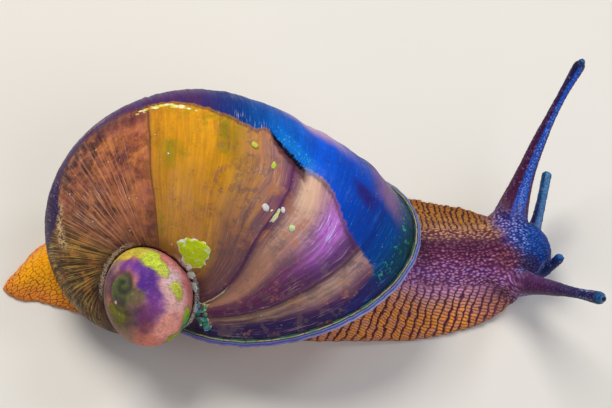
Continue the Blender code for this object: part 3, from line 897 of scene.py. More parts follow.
def whorl_chip(wire, shell, at):
    """A dark notch along the band's edge, painted near black as shade in the recess, with a painted
    blue sheen and sparkle on one side and a painted shadow line on the other.
    """
    turn, spot = at.turn, at.spot
    path = wire.level_ramp(turn, [(place, float(height)) for place, height in CHIP_PATH])
    rough = wire.noise(spot, 1.6, 3.0, 0.7) - 0.5
    aside = at.angle - path + rough * 0.1
    glitter, _ = wire.cells(spot, 2.4)
    # Painted shadow: a dark line along the other side of the notch
    chip_shadow_line = turn.between(-0.83, -0.6, 0.03) * aside.between(0.01, 0.1, 0.025)
    # Painted blue sheen, with painted sparkle in it, beside the notch
    blue = turn.between(-0.8, -0.58, 0.04) * aside.between(-0.2, -0.01, 0.05)
    sparkle = (turn.between(-0.82, -0.6, 0.04) * aside.between(-0.2, -0.02, 0.04)
               * glitter.step(0.34, 0.2) * rough.step(-0.05, 0.08))
    # Painted shade: the notch itself is coloured near black, as a recess in shadow
    chip = turn.between(-0.84, -0.62, 0.02) * aside.between(-0.028, 0.026, 0.01)
    return wire.coats(shell, (chip_shadow_line * 0.85, "#4a2030"), (blue * 0.6, "#0578d0"),
                      (sparkle * 0.9, "#56c8f0"), (chip, "#0a0810")), chip


def suture(wire, shell, spot):
    """Painted shade round the young shell, a dark ring and a darker line where the whorl meets the
    dome, and the pale film dried along it.
    """
    x, y, z = wire.split(spot)
    reach = wire.distance(wire.vector(x / DOME_SQUASH, y, z),
                          (DOME_CENTRE.x / DOME_SQUASH, DOME_CENTRE.y, DOME_CENTRE.z))
    ragged = wire.noise(spot, 1.1, 4.0, 0.7)
    reach = reach + (ragged - 0.5) * 1.4
    behind = x.step(-34.0, -38.0) * y.step(-17.0, -13.0)
    beside = x.step(-27.5, -25.0)
    film = reach.between(11.1, 12.0, 0.25) * wire.math("MAXIMUM", behind, beside)
    frayed = wire.noise(spot, 3.2, 4.0, 0.7)
    # Where the painted shade by the dome is made deeper, on its left
    deep = x.step(-37.5, -41.0) * z.step(21.0, 18.0)
    return wire.coats(
        shell,
        # Painted shade: a dark ring on the whorl round the dome
        (reach.step(15.5, 11.5) * (0.45 + deep * 0.4), "#2c1c2a"),
        (film * frayed.step(0.44, 0.52) * 0.8, wire.blend(beside, "#d8c4b0", "#ccd0d8")),
        # Painted shade: the dark line in the crease where the whorl meets the dome
        (reach.step(11.3, 10.6), "#1a1018"))


def whorl_material(looks):
    """Growth fields, stripes and the blue outer band, along the coil."""
    material, wire, shader = new_material("shell_whorl")
    at = whorl_fields(wire)
    grime, scuff, pits = wire.group("weathering", Place=at.spot, Scale=1.0)
    shell = whorl_base(wire, looks, at)
    for lay in (old_shell, ochre_field, last_half_whorl):
        shell = lay(wire, shell, at)

    # A painted mauve sheen before the lip, with painted highlight strokes on it, narrower along the
    # growth than across it
    squeeze, turn, angle = 3.2, -0.375, math.radians(49)
    aside = wire.distance(wire.vector(at.growth * squeeze, at.angle, 0.0),
                          (turn * squeeze, angle, 0.0))
    patch = (aside + at.waver * 0.3).step(0.36, 0.06)
    mauve_sheen = wire.blend(at.fine, looks.mauve_sheen, "#a456b8")
    shell = wire.coats(
        shell,
        (patch * (0.55 + 0.4 * at.wide_fine), mauve_sheen),
        # Painted highlight: pale blue-white strokes on the mauve sheen
        (patch.step(0.2, 0.7) * at.hair.step(0.1, 0.6), "#c9d0ff"))
    shell = whorl_band(wire, looks, shell, at)
    shell, chip = whorl_chip(wire, shell, at)
    shell = wire.coats(shell, (grime * 0.22, "#2d2220"), (scuff * 0.45, "#d9c4ac"),
                       (pits * 0.5, "#241826"))
    shell = suture(wire, shell, at.spot)

    roughness = 0.34 + grime * 0.25 + at.fine * 0.1 + chip * 0.3
    height = at.fine * 0.5 + at.hair * 0.3 + at.wide_broad * 0.5 - pits * 0.6
    finish_surface(wire, shader, shell, roughness, wire.bump(height, 0.00008, 0.8),
                   coat=looks.gloss, coat_roughness=0.14, shine=0.08)
    return material


class SNAIL_OT_shell_whorl(bpy.types.Operator):
    """Make the striped body whorl with its growth ribs"""
    bl_idname = "snail.shell_whorl"
    bl_label = "Body whorl"

    def execute(self, context):
        looks = context.scene.snail_shell
        whorl = shape_whorl(looks.rib_height)
        finish_piece(whorl, whorl_material(looks), ["shell_body_whorl"])
        return {"FINISHED"}


# ---------------------------------------------------------------- spire

DOME_SEGMENTS = 144
DOME_RINGS = 110
GROOVE_START = 0.22
GROOVE_GROWTH = 0.23
GROOVE_WIDTH = 0.07

# Patches of colour on the young shell: right and up over its face and reach, in millimetres,
# how soft the edge is, the colour, and how much of it shows
DOME_PATCHES_AND_HIGHLIGHT = (
    # The first three rows, pale pink and peach along the right of the dome, are partly its own rose
    # and partly a painted highlight on that side
    (5.6, -1.0, 4.2, 2.4, "#ffc8c0", 0.95),
    (5.4, 4.2, 2.6, 1.8, "#e4c4ca", 0.9),
    (4.0, -6.2, 3.8, 2.2, "#ffa894", 0.95),
    (-1.2, -9.4, 4.2, 1.4, "#dc7a62", 0.95),
    (-5.6, -6.4, 4.2, 1.6, "#967050", 0.95),
    (-9.0, -1.0, 3.8, 1.4, "#867048", 0.95),
    (-6.8, 6.2, 3.2, 1.6, "#a88c90", 0.95),
    (-7.4, 3.8, 1.9, 1.2, "#5e3e5c", 0.85),
    (-2.2, -3.6, 3.2, 1.6, "#6c5058", 0.95),
    (-3.6, 6.8, 1.6, 1.0, "#7c3c9c", 0.95),
    (-1.0, 6.2, 2.0, 1.0, "#6c389c", 1.0),
    (1.0, 4.6, 2.1, 1.0, "#5c309c", 1.0),
    (0.8, 2.6, 2.2, 1.0, "#4a2490", 1.0),
    (2.2, 0.4, 2.1, 1.2, "#6a3494", 1.0),
    (2.6, -1.8, 2.0, 1.5, "#8c4098", 0.95),
    (0.8, -3.8, 2.0, 1.3, "#7c3878", 0.95),
    (0.2, -6.0, 1.7, 1.3, "#8e4058", 0.9),
    (-1.4, 0.4, 1.8, 1.0, "#6e6644", 0.95),
    (-4.95, 1.7, 3.4, 1.0, "#626e38", 1.0),
    (-4.9, 2.4, 1.4, 0.8, "#5c8428", 0.9),
    (-5.4, -3.2, 2.8, 1.2, "#7a6c38", 0.9),
    (-8.0, 1.2, 1.4, 0.9, "#4a3a4c", 0.8),
)

# Moss on the young shell: right and up over its face, reach in millimetres, and the colour
MOSS_PATCHES = (
    (-7.6, 7.6, 2.3, "#bc9c50"), (-5.6, 8.4, 2.5, "#dcbc4c"), (-3.0, 9.2, 2.6, "#e4c848"),
    (-0.6, 9.1, 2.1, "#d4c444"), (1.4, 8.0, 2.1, "#c8dc40"), (2.8, 6.7, 1.8, "#d0e840"),
    (3.8, 5.4, 1.3, "#ccd454"), (6.4, 2.0, 1.4, "#dce454"), (6.8, 0.9, 1.1, "#d0d844"),
    (8.2, -3.2, 1.3, "#a4cc28"), (7.9, -5.0, 1.9, "#5cb048"), (6.9, -6.9, 2.1, "#2c8858"),
    (5.2, -8.4, 1.8, "#a0b42c"), (-6.6, -2.6, 1.2, "#84802a"), (-5.0, -3.8, 1.1, "#7c7a28"),
    (-5.8, -5.2, 0.9, "#7e742c"),
)


def over_dome(right, up):
    """The point of the young shell's surface that lies right and up over its face."""
    side = Vector((1, 0, 0))
    rise = DOME_FACE.cross(side)
    right /= DOME_SQUASH
    ahead = math.sqrt(max(DOME_RADIUS ** 2 - right ** 2 - up ** 2, 1.0))
    squash = Matrix.Scale(DOME_SQUASH, 3, DOME_SQUASH_AXIS)
    return DOME_CENTRE + squash @ (side * right + rise * up + DOME_FACE * ahead)


def spiral_groove(polar, bearing):
    """How deep the spiral groove is, from 0 to 1, fading as it leaves the nucleus."""
    start = GROOVE_START * np.exp(GROOVE_GROWTH * bearing)
    inner = start * math.exp(-GROOVE_GROWTH * 2 * math.pi)
    depth = np.maximum(bell(polar, start, GROOVE_WIDTH), bell(polar, inner, GROOVE_WIDTH))
    return depth * (1 - 0.8 * smooth_step(polar, 0.35, 0.8))


def shape_dome(groove_depth):
    """The smooth dome with the groove that runs out of its nucleus and faint growth lines."""
    bm = bmesh.new()
    bmesh.ops.create_uvsphere(bm, u_segments=DOME_SEGMENTS, v_segments=DOME_RINGS, radius=1.0)
    dome = new_piece("shell_spire_dome", bm)
    tilt = np.array(UP.rotation_difference(NUCLEUS_AXIS).to_matrix())
    direction = points_of(dome.data) @ tilt.T
    polar = np.arccos(np.clip(direction @ np.array(NUCLEUS_AXIS), -1, 1))
    side = NUCLEUS_AXIS.cross(UP).normalized()
    front = side.cross(NUCLEUS_AXIS)
    bearing = np.arctan2(direction @ np.array(side), direction @ np.array(front)) % (2 * math.pi)
    groove = spiral_groove(polar, bearing)
    lines = ripple(bearing, 0.05, 31) * smooth_step(polar, 0.3, 0.9) * 0.03
    radius = DOME_RADIUS - groove_depth / MM * groove + lines
    squash = np.array(Matrix.Scale(DOME_SQUASH, 3, DOME_SQUASH_AXIS))
    points = np.array(DOME_CENTRE) + (direction * radius[:, None]) @ squash.T
    put_points(dome.data, points)
    store(dome.data, "dome", np.stack([polar, bearing, groove], 1))
    store(dome.data, "spot", points)
    return dome


def dome_material(looks):
    """Violet crescent, rosy side, olive nucleus, and moss along the suture."""
    material, wire, shader = new_material("shell_spire")
    polar, bearing, groove = wire.split(wire.attribute("dome"))
    spot = wire.attribute("spot")
    swayed = wire.moved(spot, wire.noise_vector(spot, 0.4, 2.4))
    _, fine, hair = wire.group("growth_streaks", Across=bearing, Along=polar, Fineness=30.0)
    grime, scuff, pits = wire.group("weathering", Place=spot, Scale=2.0)
    grain = wire.noise(spot, 2.4, 4.0, 0.7)
    mottle = wire.noise(spot, 0.9, 4.0, 0.6)

    shell = looks.rose
    for right, up, reach, soft, shade, share in DOME_PATCHES_AND_HIGHLIGHT:
        near = wire.distance(swayed, over_dome(right, up))
        shell = wire.blend(near.step(reach + soft, reach - soft) * share, shell, shade)
    violet = wire.distance(swayed, over_dome(0.9, 3.6)).step(2.4, 0.6)
    # Painted shadow: a dark crescent on the lower left of the raised nucleus
    crescent = wire.distance(swayed, over_dome(-5.0, -0.4)).step(2.2, 0.9) * polar.step(0.1, 0.3)
    crumbs = grain.step(0.5, 0.58) * wire.distance(swayed, over_dome(-6.0, -3.4)).step(5.4, 3.2)
    shell = wire.coats(
        shell,
        (mottle.step(0.5, 0.62) * 0.3, "#5c3a50"),
        (mottle.step(0.48, 0.36) * 0.12, "#d9a0b0"),
        (violet * 0.35, looks.violet),
        (polar.step(0.26, 0.08) * 0.5, looks.olive),
        # Painted shadow of the nucleus, and painted shade in the spiral groove
        (wire.math("MAXIMUM", crescent, groove * 0.8) * 0.75, "#282640"),
        (crumbs * 0.8, wire.blend(mottle, "#3c3420", "#7a8220")))

    # Moss: a rind round the far side and the right, breaking into crumbs
    cover = 0.0
    for right, up, reach, shade in MOSS_PATCHES:
        near = wire.distance(swayed, over_dome(right, up)) + (grain - 0.5) * 3.0
        share = near.step(reach + 0.55, reach - 0.35)
        mossy = wire.blend(0.45 + 0.55 * grain.step(0.36, 0.52), "#7c7420", shade)
        shell = wire.blend(share, shell, mossy)
        cover = wire.math("MAXIMUM", cover, share)
    glint = wire.distance(spot, over_dome(-5.8, -1.0)).step(0.5, 0.25)
    shell = wire.coats(
        shell,
        (cover * grain.step(0.6, 0.66), "#f2efbc"),
        (glint, "#efc6b8"),
        (fine * 0.18, "#3a2030"),
        (hair * 0.2, "#e6b4b8"),
        (grime * 0.2, "#3b3024"),
        (scuff * 0.5, "#d9c0b4"))
    rough = 0.46 + grime * 0.25 + cover * 0.3
    height = fine * 0.3 + cover * (1.0 + grain) + crumbs + grain * 0.4 - pits
    finish_surface(wire, shader, shell, rough, wire.bump(height, 0.00014, 0.8),
                   coat=0.08, coat_roughness=0.2, shine=0.2)
    return material


class SNAIL_OT_shell_spire(bpy.types.Operator):
    """Make the dome of the young shell with its moss"""
    bl_idname = "snail.shell_spire"
    bl_label = "Spire"

    def execute(self, context):
        looks = context.scene.snail_spire
        dome = shape_dome(looks.groove_depth)
        finish_piece(dome, dome_material(looks), ["shell_spire"])
        return {"FINISHED"}


# ---------------------------------------------------------------- lip

LIP_SEGMENTS = 420
LIP_SIDES = 30
RING_THICKNESS = 0.25         # radius of a plain ring's section, before it is shaped


def plain_ring(name, segments, sides):
    """A ring, with the angle round it, and how far outward and up each point of it lies."""
    bpy.ops.mesh.primitive_torus_add(major_segments=segments, minor_segments=sides,
                                     major_radius=1.0, minor_radius=RING_THICKNESS)
    ring = bpy.context.object
    ring.name = ring.data.name = name
    x, y, z = points_of(ring.data).T
    return ring, np.arctan2(y, x), np.hypot(x, y) - 1, z


def shape_lip():
    """A rounded rim in thin layers, whose back meets the end of the whorl."""
    lip, angles, aside, up = plain_ring("shell_lip_rim", LIP_SEGMENTS, LIP_SIDES)
    section = np.arctan2(up, aside)
    outward = np.sign(np.cos(section)) * np.abs(np.cos(section)) ** 0.75
    ahead = np.sign(np.sin(section)) * np.abs(np.sin(section)) ** 0.85
    layers = 0.14 * (bell(section, -0.15, 0.1) + 0.9 * bell(section, -0.62, 0.09))
    wear = 0.1 * ripple(angles, 0.05, 41) + 0.06 * ripple(angles, 0.017, 42)
    half = (LIP_GAP + 2 * LIP_HALF_THICKNESS) / 2
    grow = LIP_OUTWARD + (LIP_HALF_WIDTH - layers + wear) * outward
    put_points(lip.data, coil_points(mouth_points(angles, grow, half + half * ahead),
                                     np.full(len(angles), MOUTH_TURN)))
    store(lip.data, "rim", np.stack([angles, section / (math.pi / 2), outward], 1))
    store(lip.data, "spot", points_of(lip.data))
    return lip


def lip_material(looks):
    """Thin layers side by side: dark green, cream, dark, lavender, navy and a pale edge, whose pale
    lavender crest is partly a painted highlight.
    """
    material, wire, shader = new_material("shell_lip")
    angle, around, outward = wire.split(wire.attribute("rim"))
    spot = wire.attribute("spot")
    waver = (wire.noise(spot, 0.5, 3.0) - 0.5) * 0.1
    layers = wire.ramp(around + waver, (
        (-1.0, "#0c2220"), (-0.74, "#12302e"), (-0.69, "#8a8262"), (-0.64, looks.lip_cream),
        (-0.6, "#5e5448"), (-0.56, "#1d2230"), (-0.5, "#2b2d52"), (-0.45, "#6674b4"),
        # From -0.12 to 0.05 the pale lavender crest is partly a painted highlight
        (-0.36, "#7480c4"), (-0.27, "#3b478c"), (-0.2, "#343f86"), (-0.12, "#8492cc"),
        (0.05, looks.lip_rim_and_highlight), (0.3, "#a99ac8"), (0.6, "#8f86b0"), (1.0, "#6f5f88")))
    _, fine, hair = wire.group("growth_streaks", Across=angle, Along=around, Fineness=26.0)
    grime, scuff, _ = wire.group("weathering", Place=spot, Scale=2.2)
    back = around.step(-0.4, -0.6)
    flecks = wire.noise(spot, 1.3, 3.0, 0.7).step(0.54, 0.62) * back
    green = wire.noise(spot, 0.35, 2.0).step(0.5, 0.6) * back
    low = angle.step(1.0, 1.5) * angle.step(3.0, 2.4)
    layers = wire.coats(
        layers,
        (fine * 0.25, "#30346e"),
        (flecks * 0.6, "#141c24"),
        (green * 0.45, "#2c6a4a"),
        (outward.step(0.1, -0.6) * 0.8, "#4d4468"),
        (low * 0.5 * around.step(-0.5, -0.3), "#553a86"),
        (grime * 0.3, "#332b30"),
        (scuff * 0.6, "#e0d8ba"))
    finish_surface(wire, shader, layers, 0.32 + grime * 0.3,
                   wire.bump(fine * 0.5 + hair * 0.3, 0.00006, 0.7),
                   coat=looks.gloss, coat_roughness=0.12, shine=0.35)
    return material


class SNAIL_OT_shell_lip(bpy.types.Operator):
    """Make the layered lip round the mouth of the shell"""
    bl_idname = "snail.shell_lip"
    bl_label = "Lip"

    def execute(self, context):
        looks = context.scene.snail_shell
        finish_piece(shape_lip(), lip_material(looks), ["shell_lip"])
        return {"FINISHED"}


# ---------------------------------------------------------------- crust on the shell

LIME, CHALK, LICHEN, TEAL = "#c6d816", "#e4e2da", "#d8c83a", "#4f8f98"

# Flakes: turn, angle in degrees, half length along the turn, half width, thickness, core, rim
FLAKES = (
    (-1.03, 113.5, 3.4, 3.6, 0.5, LIME, CHALK),
    (-0.97, 121.5, 0.7, 1.3, 0.35, CHALK, CHALK),
    (-0.72, 66.0, 0.9, 0.75, 0.3, "#dcd8dc", CHALK),
    (-0.66, 65.0, 1.1, 1.8, 0.3, "#e0e4a0", CHALK),
    (-0.63, 60.5, 0.6, 0.5, 0.3, CHALK, CHALK),
    (-0.53, 63.5, 0.65, 0.65, 0.3, "#c4e49a", CHALK),
    (-0.915, 40.0, 0.8, 0.65, 0.25, "#c4c846", "#dcd8a0"),
    (-0.785, 44.5, 0.55, 0.8, 0.25, "#b8c838", "#ccd070"),
    (-0.62, 130.0, 1.4, 1.2, 0.4, "#c8d8c8", CHALK),
    (-0.84, 126.0, 0.9, 1.1, 0.35, "#d8dccc", CHALK),
)
DEBRIS = 44
LICHEN_CRUMBS = 46
DUST_CRUMBS = 36


def flake(turn, angle, half_along, half_across, thickness, core, rim, seed, slant=0.0):
    """A thin ragged flake that lies on the whorl's surface. Slant shifts its ends in turn."""
    bm = bmesh.new()
    fine = 4 if max(half_along, half_across) > 1.0 else 2
    bmesh.ops.create_icosphere(bm, subdivisions=fine, radius=1.0)
    piece = new_piece("flake", bm)
    points = points_of(piece.data)
    here, ahead, over = whorl_points(np.array([turn, turn + 0.01, turn]),
                                     np.array([angle, angle, angle + 0.01]))
    per_turn = np.linalg.norm(ahead - here) / 0.01
    per_angle = np.linalg.norm(over - here) / 0.01
    bearing = np.arctan2(points[:, 1], points[:, 0])
    ragged = 1 + 0.18 * ripple(np.cos(bearing) * 3 + np.sin(bearing) * 5 + 9, 1.3, seed)
    ragged *= 1 + 0.1 * ripple(np.cos(bearing) * 9 - np.sin(bearing) * 8 + 30, 1.1, seed + 1)
    turns = turn + points[:, 0] * ragged * half_along / per_turn + slant * points[:, 1]
    angles = angle + points[:, 1] * ragged * half_across / per_angle
    radial = np.hypot(points[:, 0], points[:, 1])
    crumbly = 1 + 0.35 * ripple(points[:, 0] * 7 + points[:, 1] * 11 + 40, 1.0, seed + 2)
    lift = np.clip(points[:, 2], -0.4, 1) * thickness * crumbly
    put_points(piece.data, whorl_points(turns, angles, lift + 0.05))
    count = len(points)
    store(piece.data, "core", np.tile(tint(core)[:3], (count, 1)))
    store(piece.data, "rim", np.tile(tint(rim)[:3], (count, 1)))
    store(piece.data, "radial", radial)
    return piece


def scattered_flakes():
    """Crumbs of lichen along the outer band, a splinter, and dust over the rest."""
    chance = np.random.default_rng(77)
    yield -0.415, 116.5, 0.16, 4.2, 0.22, "#e0d6b0", "#c8b878", 0.06
    yield -0.36, 124.0, 0.12, 1.6, 0.18, "#d9d2b8", "#b7a26c", -0.02
    for _ in range(DEBRIS):
        share = chance.uniform()
        size = chance.uniform(0.25, 0.75)
        yield (-0.37 + 0.27 * share + chance.normal(0, 0.02),
               129.0 - 8 * share + chance.normal(0, 2.2),
               size * chance.uniform(0.6, 1.4), size, 0.35,
               (TEAL, "#2f7a5c", "#6fa3b8", "#3f9a60", "#a8c8d4")[chance.integers(5)],
               ("#c8dce6", "#9cc4d0", "#d8e8d8")[chance.integers(3)], chance.uniform(-0.02, 0.02))
    for _ in range(LICHEN_CRUMBS):
        turn = np.clip(chance.normal(-1.43, 0.085), -1.62, -1.25)
        size = abs(chance.normal(0.16, 0.12)) + 0.07
        yield (turn, chance.normal(24 + 180 * (turn + 1.44) ** 2, 0.8), size * 2.0, size, 0.14,
               LICHEN if chance.random() < 0.6 else "#f0eeb4", "#f4f0c0", 0.0)
    for _ in range(DUST_CRUMBS):
        turn = chance.uniform(-2.9, -0.15)
        size = abs(chance.normal(0.05, 0.04)) + 0.05
        shade = ("#e8d8c0", "#d9c8d4", "#c9b28c", "#dfe6ea")[chance.integers(4)]
        yield turn, chance.uniform(28, 118), size * 1.3, size, 0.06, shade, shade, 0.0


def crust_material():
    material, wire, shader = new_material("shell_crust")
    radial, _, _ = wire.split(wire.attribute("radial"))
    place = wire.add("ShaderNodeTexCoord").outputs["Object"]
    grain = wire.noise(place, 2600.0, 3.0, 0.7)
    coarse = wire.noise(place, 700.0, 2.0)
    core = wire.blend(grain.step(0.5, 0.7) * 0.5, wire.attribute("core"),
                      "#98a81c", "MULTIPLY")
    share = (radial + (coarse - 0.5) * 0.9).step(0.86, 0.98)
    shade = wire.blend(share, core, wire.attribute("rim"))
    shade = wire.blend(coarse.step(0.6, 0.68) * 0.6, shade, wire.attribute("rim"))
    finish_surface(wire, shader, shade, 0.75 + grain * 0.2, wire.bump(grain, 0.00015, 0.8))
    return material


class SNAIL_OT_shell_crust(bpy.types.Operator):
    """Make the flakes of lichen, algae and chalk that cling to the shell"""
    bl_idname = "snail.shell_crust"
    bl_label = "Crust on the shell"

    def execute(self, context):
        given = [*((*sizes, 0.0) for sizes in FLAKES), *scattered_flakes()]
        flakes = [flake(turn, math.radians(angle), *rest, seed, slant)
                  for seed, (turn, angle, *rest, slant) in enumerate(given)]
        crust = flakes[0]
        crust.name = crust.data.name = "shell_crust"
        join_meshes(crust, *flakes[1:])
        finish_piece(crust, crust_material())
        return {"FINISHED"}


# ---------------------------------------------------------------- skin shape

# How finely each form is drawn: segments round it, and rings along it or sides of its section
BODY_MESH, FEELER_MESH, PAD_MESH, ROLL_MESH = (72, 150), (28, 60), (96, 2), (160, 16)
SKIN_VOXEL = 0.5
SKIN_SHRINK = 0.15            # what smoothing the joined skin takes off a feeler
SKIN_FLESH = ("head", "neck", "trunk", "foot", "tail", "mantle_collar",
              "tentacle_upper_left", "tentacle_upper_right",
              "tentacle_lower_left", "tentacle_lower_right")
SHELL_NODES = ("shell_body_whorl", "shell_spire", "shell_lip")
FINE_NECK = 12.0              # in front of here, and behind FINE_TAIL, the mesh is finer
FINE_TAIL = -37.0
FEELERS = {
    "upper_left": (UPPER_LEFT, UPPER_RADII),
    "upper_right": (UPPER_RIGHT, UPPER_RIGHT_RADII),
    "lower_left": (LOWER_LEFT, LOWER_RADII),
    "lower_right": (LOWER_RIGHT, LOWER_RADII),
}
# Which way the feelers' painted sheen faces, the blue stripe on the left and the glint on the right
SHEEN_STRIPE_FACING = Vector((0.18, -0.84, 0.51)).normalized()
GLINT_FACING = Vector((-0.9, 0.1, 0.4)).normalized()
ROLL_RADIUS = 1.5             # the rounded edge of the mantle inside the lip
ROLL_FORWARD = 1.6
HEAD_BEGINS = 38.0            # no part of a feeler is behind here
ABOVE_SOLE = 0.3
CHUNK = 8000                  # points worked on together, which keeps the memory small


def body_points(angles, alongs):
    """Foot, back and neck in one, with a flat sole."""
    first, last = BODY_STATIONS[0][0], BODY_STATIONS[-1][0]
    x = first + (last - first) * alongs
    shift, half, top, back, margin = smooth_through(BODY_STATIONS, x)
    side = np.cos(angles)
    edge = np.clip(np.sin(angles), 0, 1) ** 0.6
    ridge = np.exp(-math.log(2) * np.abs(half * side / back) ** 3)
    return np.stack([x, shift + half * side, edge * (margin + (top - margin) * ridge)], 1)


def feeler_line(feeler, shares):
    """Points along a feeler's middle, and the way ahead at each."""
    base, tip, bend = (np.array(v) for v in feeler)
    middle = (base + tip) / 2 + bend
    u = np.asarray(shares)[:, None]
    line = base * (1 - u) ** 2 + middle * 2 * u * (1 - u) + tip * u ** 2
    ahead = 2 * (1 - u) * (middle - base) + 2 * u * (tip - middle)
    return line, ahead / np.linalg.norm(ahead, axis=1)[:, None]


def radius_stations(radii, more=0.0):
    """Radii at equal shares of a feeler's length."""
    return [(k / (len(radii) - 1), r + more) for k, r in enumerate(radii)]


def feeler_form(name, feeler, radii, segments, rings):
    """A tapering feeler with a round tip."""
    stations = radius_stations(radii, SKIN_SHRINK)
    length = (feeler[1] - feeler[0]).length

    def place(angles, alongs):
        u = alongs ** 0.8
        radius = smooth_through(stations, u)[0]
        left_over = (1 - u) * length
        capped = np.sqrt(np.clip(radius ** 2 - (radius - left_over) ** 2, 0, None))
        radius = np.where(left_over < radius, capped, radius)[:, None]
        line, ahead = feeler_line(feeler, u)
        across = np.cross(ahead, (0.0, 0.0, 1.0))
        across /= np.linalg.norm(across, axis=1)[:, None]
        upward = np.cross(across, ahead)
        return line + radius * (np.cos(angles)[:, None] * across
                                + np.sin(angles)[:, None] * upward)

    form = formed_cylinder(name, segments, rings, place)
    tidy(form, 0.01)
    return form


def shell_cutters():
    """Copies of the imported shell, merged, in the snail's own millimetres."""
    for name in SHELL_NODES:
        bm = bmesh.new()
        bm.from_mesh(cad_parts[name].data)
        back = Matrix.Translation(-snail_shift()) @ Matrix.Diagonal((1 / MM, 1 / MM, 1 / MM, 1.0))
        bmesh.ops.transform(bm, matrix=back, verts=bm.verts)
        bmesh.ops.remove_doubles(bm, verts=bm.verts, dist=0.002)
        yield new_piece("cutter_" + name, bm)


def mantle_forms():
    """The pad of flesh that fills the mouth, and the rounded roll along its edge."""
    inset = LIP_OUTWARD - LIP_HALF_WIDTH - LIP_GAP

    def pad(angles, alongs):
        forward = LIP_GAP + COLLAR_THICKNESS * alongs
        return coil_points(mouth_points(angles, inset, forward),
                           np.full(len(angles), MOUTH_TURN))

    roll, angles, aside, up = plain_ring("roll", *ROLL_MESH)
    swell = ROLL_RADIUS * (1 + 0.12 * ripple(angles, 0.16, 51))
    grow = inset - ROLL_RADIUS + swell * aside / RING_THICKNESS
    forward = ROLL_FORWARD + swell * up / RING_THICKNESS
    put_points(roll.data, coil_points(mouth_points(angles, grow, forward),
                                      np.full(len(angles), MOUTH_TURN)))
    return formed_cylinder("pad", *PAD_MESH, pad), roll


def skin_form():
    """One closed skin over foot, back, neck, head, feelers and mantle."""
    skin = formed_cylinder("snail_skin", *BODY_MESH, body_points)
    tidy(skin, 0.01)
    lobes = [ellipsoid("snout", SNOUT_CENTRE, SNOUT_SIZE),
             ellipsoid("brow", BROW_CENTRE, BROW_SIZE)]
    lobes += [ellipsoid("lappet", LAPPET_CENTRE + Vector((0, side * LAPPET_SPREAD, 0)),
                        LAPPET_SIZE, 24, 14) for side in (1, -1)]
    combine(skin, lobes, "UNION")
    cutters = list(shell_cutters())
    combine(skin, cutters, "DIFFERENCE")
    forms = [*mantle_forms()]
    for form in forms:
        combine(form, cutters, "DIFFERENCE")
    forms += [feeler_form(name, *shape, *FEELER_MESH) for name, shape in FEELERS.items()]
    join_meshes(skin, *forms)
    remove(*lobes, *cutters)

    join = skin.modifiers.new("join", "REMESH")
    join.mode = "VOXEL"
    join.voxel_size = SKIN_VOXEL
    soften = skin.modifiers.new("soften", "SMOOTH")
    soften.factor = 0.5
    soften.iterations = 3
    apply_modifiers(skin)
    return skin


def keep_largest(piece):
    """Drop the crumbs that a cut leaves beside the main body."""
    bm = bmesh.new()
    bm.from_mesh(piece.data)
    waiting, bodies = set(bm.verts), []
    while waiting:
        body, border = set(), [waiting.pop()]
        while border:
            vert = border.pop()
            body.add(vert)
            for edge in vert.link_edges:
                other = edge.other_vert(vert)
                if other in waiting:
                    waiting.remove(other)
                    border.append(other)
        bodies.append(body)
    bodies.sort(key=len)
    for crumbs in bodies[:-1]:
        bmesh.ops.delete(bm, geom=list(crumbs), context="VERTS")
    bm.to_mesh(piece.data)
    bm.free()


def refine_skin(skin):
    """Split the faces of the neck, head, feelers and tail, above the sole."""
    def is_fine(vert):
        return vert.co.z > ABOVE_SOLE and not FINE_TAIL <= vert.co.x <= FINE_NECK

    bm = bmesh.new()
    bm.from_mesh(skin.data)
    edges = [e for e in bm.edges if is_fine(e.verts[0]) and is_fine(e.verts[1])]
    bmesh.ops.subdivide_edges(bm, edges=edges, cuts=1, use_grid_fill=True)
    fine = [v for v in bm.verts if is_fine(v)]
    for _ in range(2):
        bmesh.ops.smooth_vert(bm, verts=fine, factor=0.5, use_axis_x=True, use_axis_y=True,
                              use_axis_z=True)
    bm.to_mesh(skin.data)
    bm.free()


def nearest_share(points, lines):
    """For each point, where it falls along its own polyline: a step number with a fraction.

    points is (n, k), and lines is (n, steps, k) or (steps, k).
    """
    lines = np.broadcast_to(lines, (len(points), *lines.shape[-2:]))
    gaps = ((lines - points[:, None]) ** 2).sum(2)
    rows, last = np.arange(len(points)), lines.shape[1] - 1
    k = gaps.argmin(1)
    left, right = np.maximum(k - 1, 0), np.minimum(k + 1, last)
    back = (gaps[rows, left] < gaps[rows, right]) & (k > 0) | (k == last)
    start = np.where(back, left, k)
    a, b = lines[rows, start], lines[rows, start + 1]
    share = ((points - a) * (b - a)).sum(1) / np.maximum(((b - a) ** 2).sum(1), 1e-9)
    return start + np.clip(share, 0, 1), np.sqrt(gaps.min(1))


def lie_of(points):
    """How far along the body each point is, and how far round from the ridge of its back."""
    first, last, pace, steps = BODY_STATIONS[0][0], BODY_STATIONS[-1][0], 0.5, 120
    stations = np.arange(first + pace, last, pace)
    angles = np.linspace(math.pi, 0, steps + 1)
    alongs = np.repeat((stations - first) / (last - first), steps + 1)
    outline = body_points(np.tile(angles, len(stations)), alongs)[:, 1:]
    outline = outline.reshape(len(stations), steps + 1, 2)
    arcs = np.linalg.norm(np.diff(outline, axis=1), axis=2).cumsum(1)
    arcs = np.concatenate([np.zeros((len(stations), 1)), arcs], 1)
    arcs -= arcs[:, steps // 2:steps // 2 + 1]
    across = np.empty(len(points))
    for start in range(0, len(points), CHUNK):
        part = points[start:start + CHUNK]
        row = np.clip(np.round((part[:, 0] - first) / pace - 1), 0, len(stations) - 1).astype(int)
        share, _ = nearest_share(part[:, 1:], outline[row])
        whole = np.minimum(share.astype(int), steps - 1)
        low, high = arcs[row, whole], arcs[row, whole + 1]
        across[start:start + CHUNK] = low + (high - low) * (share - whole)
    return np.stack([points[:, 0], across], 1)


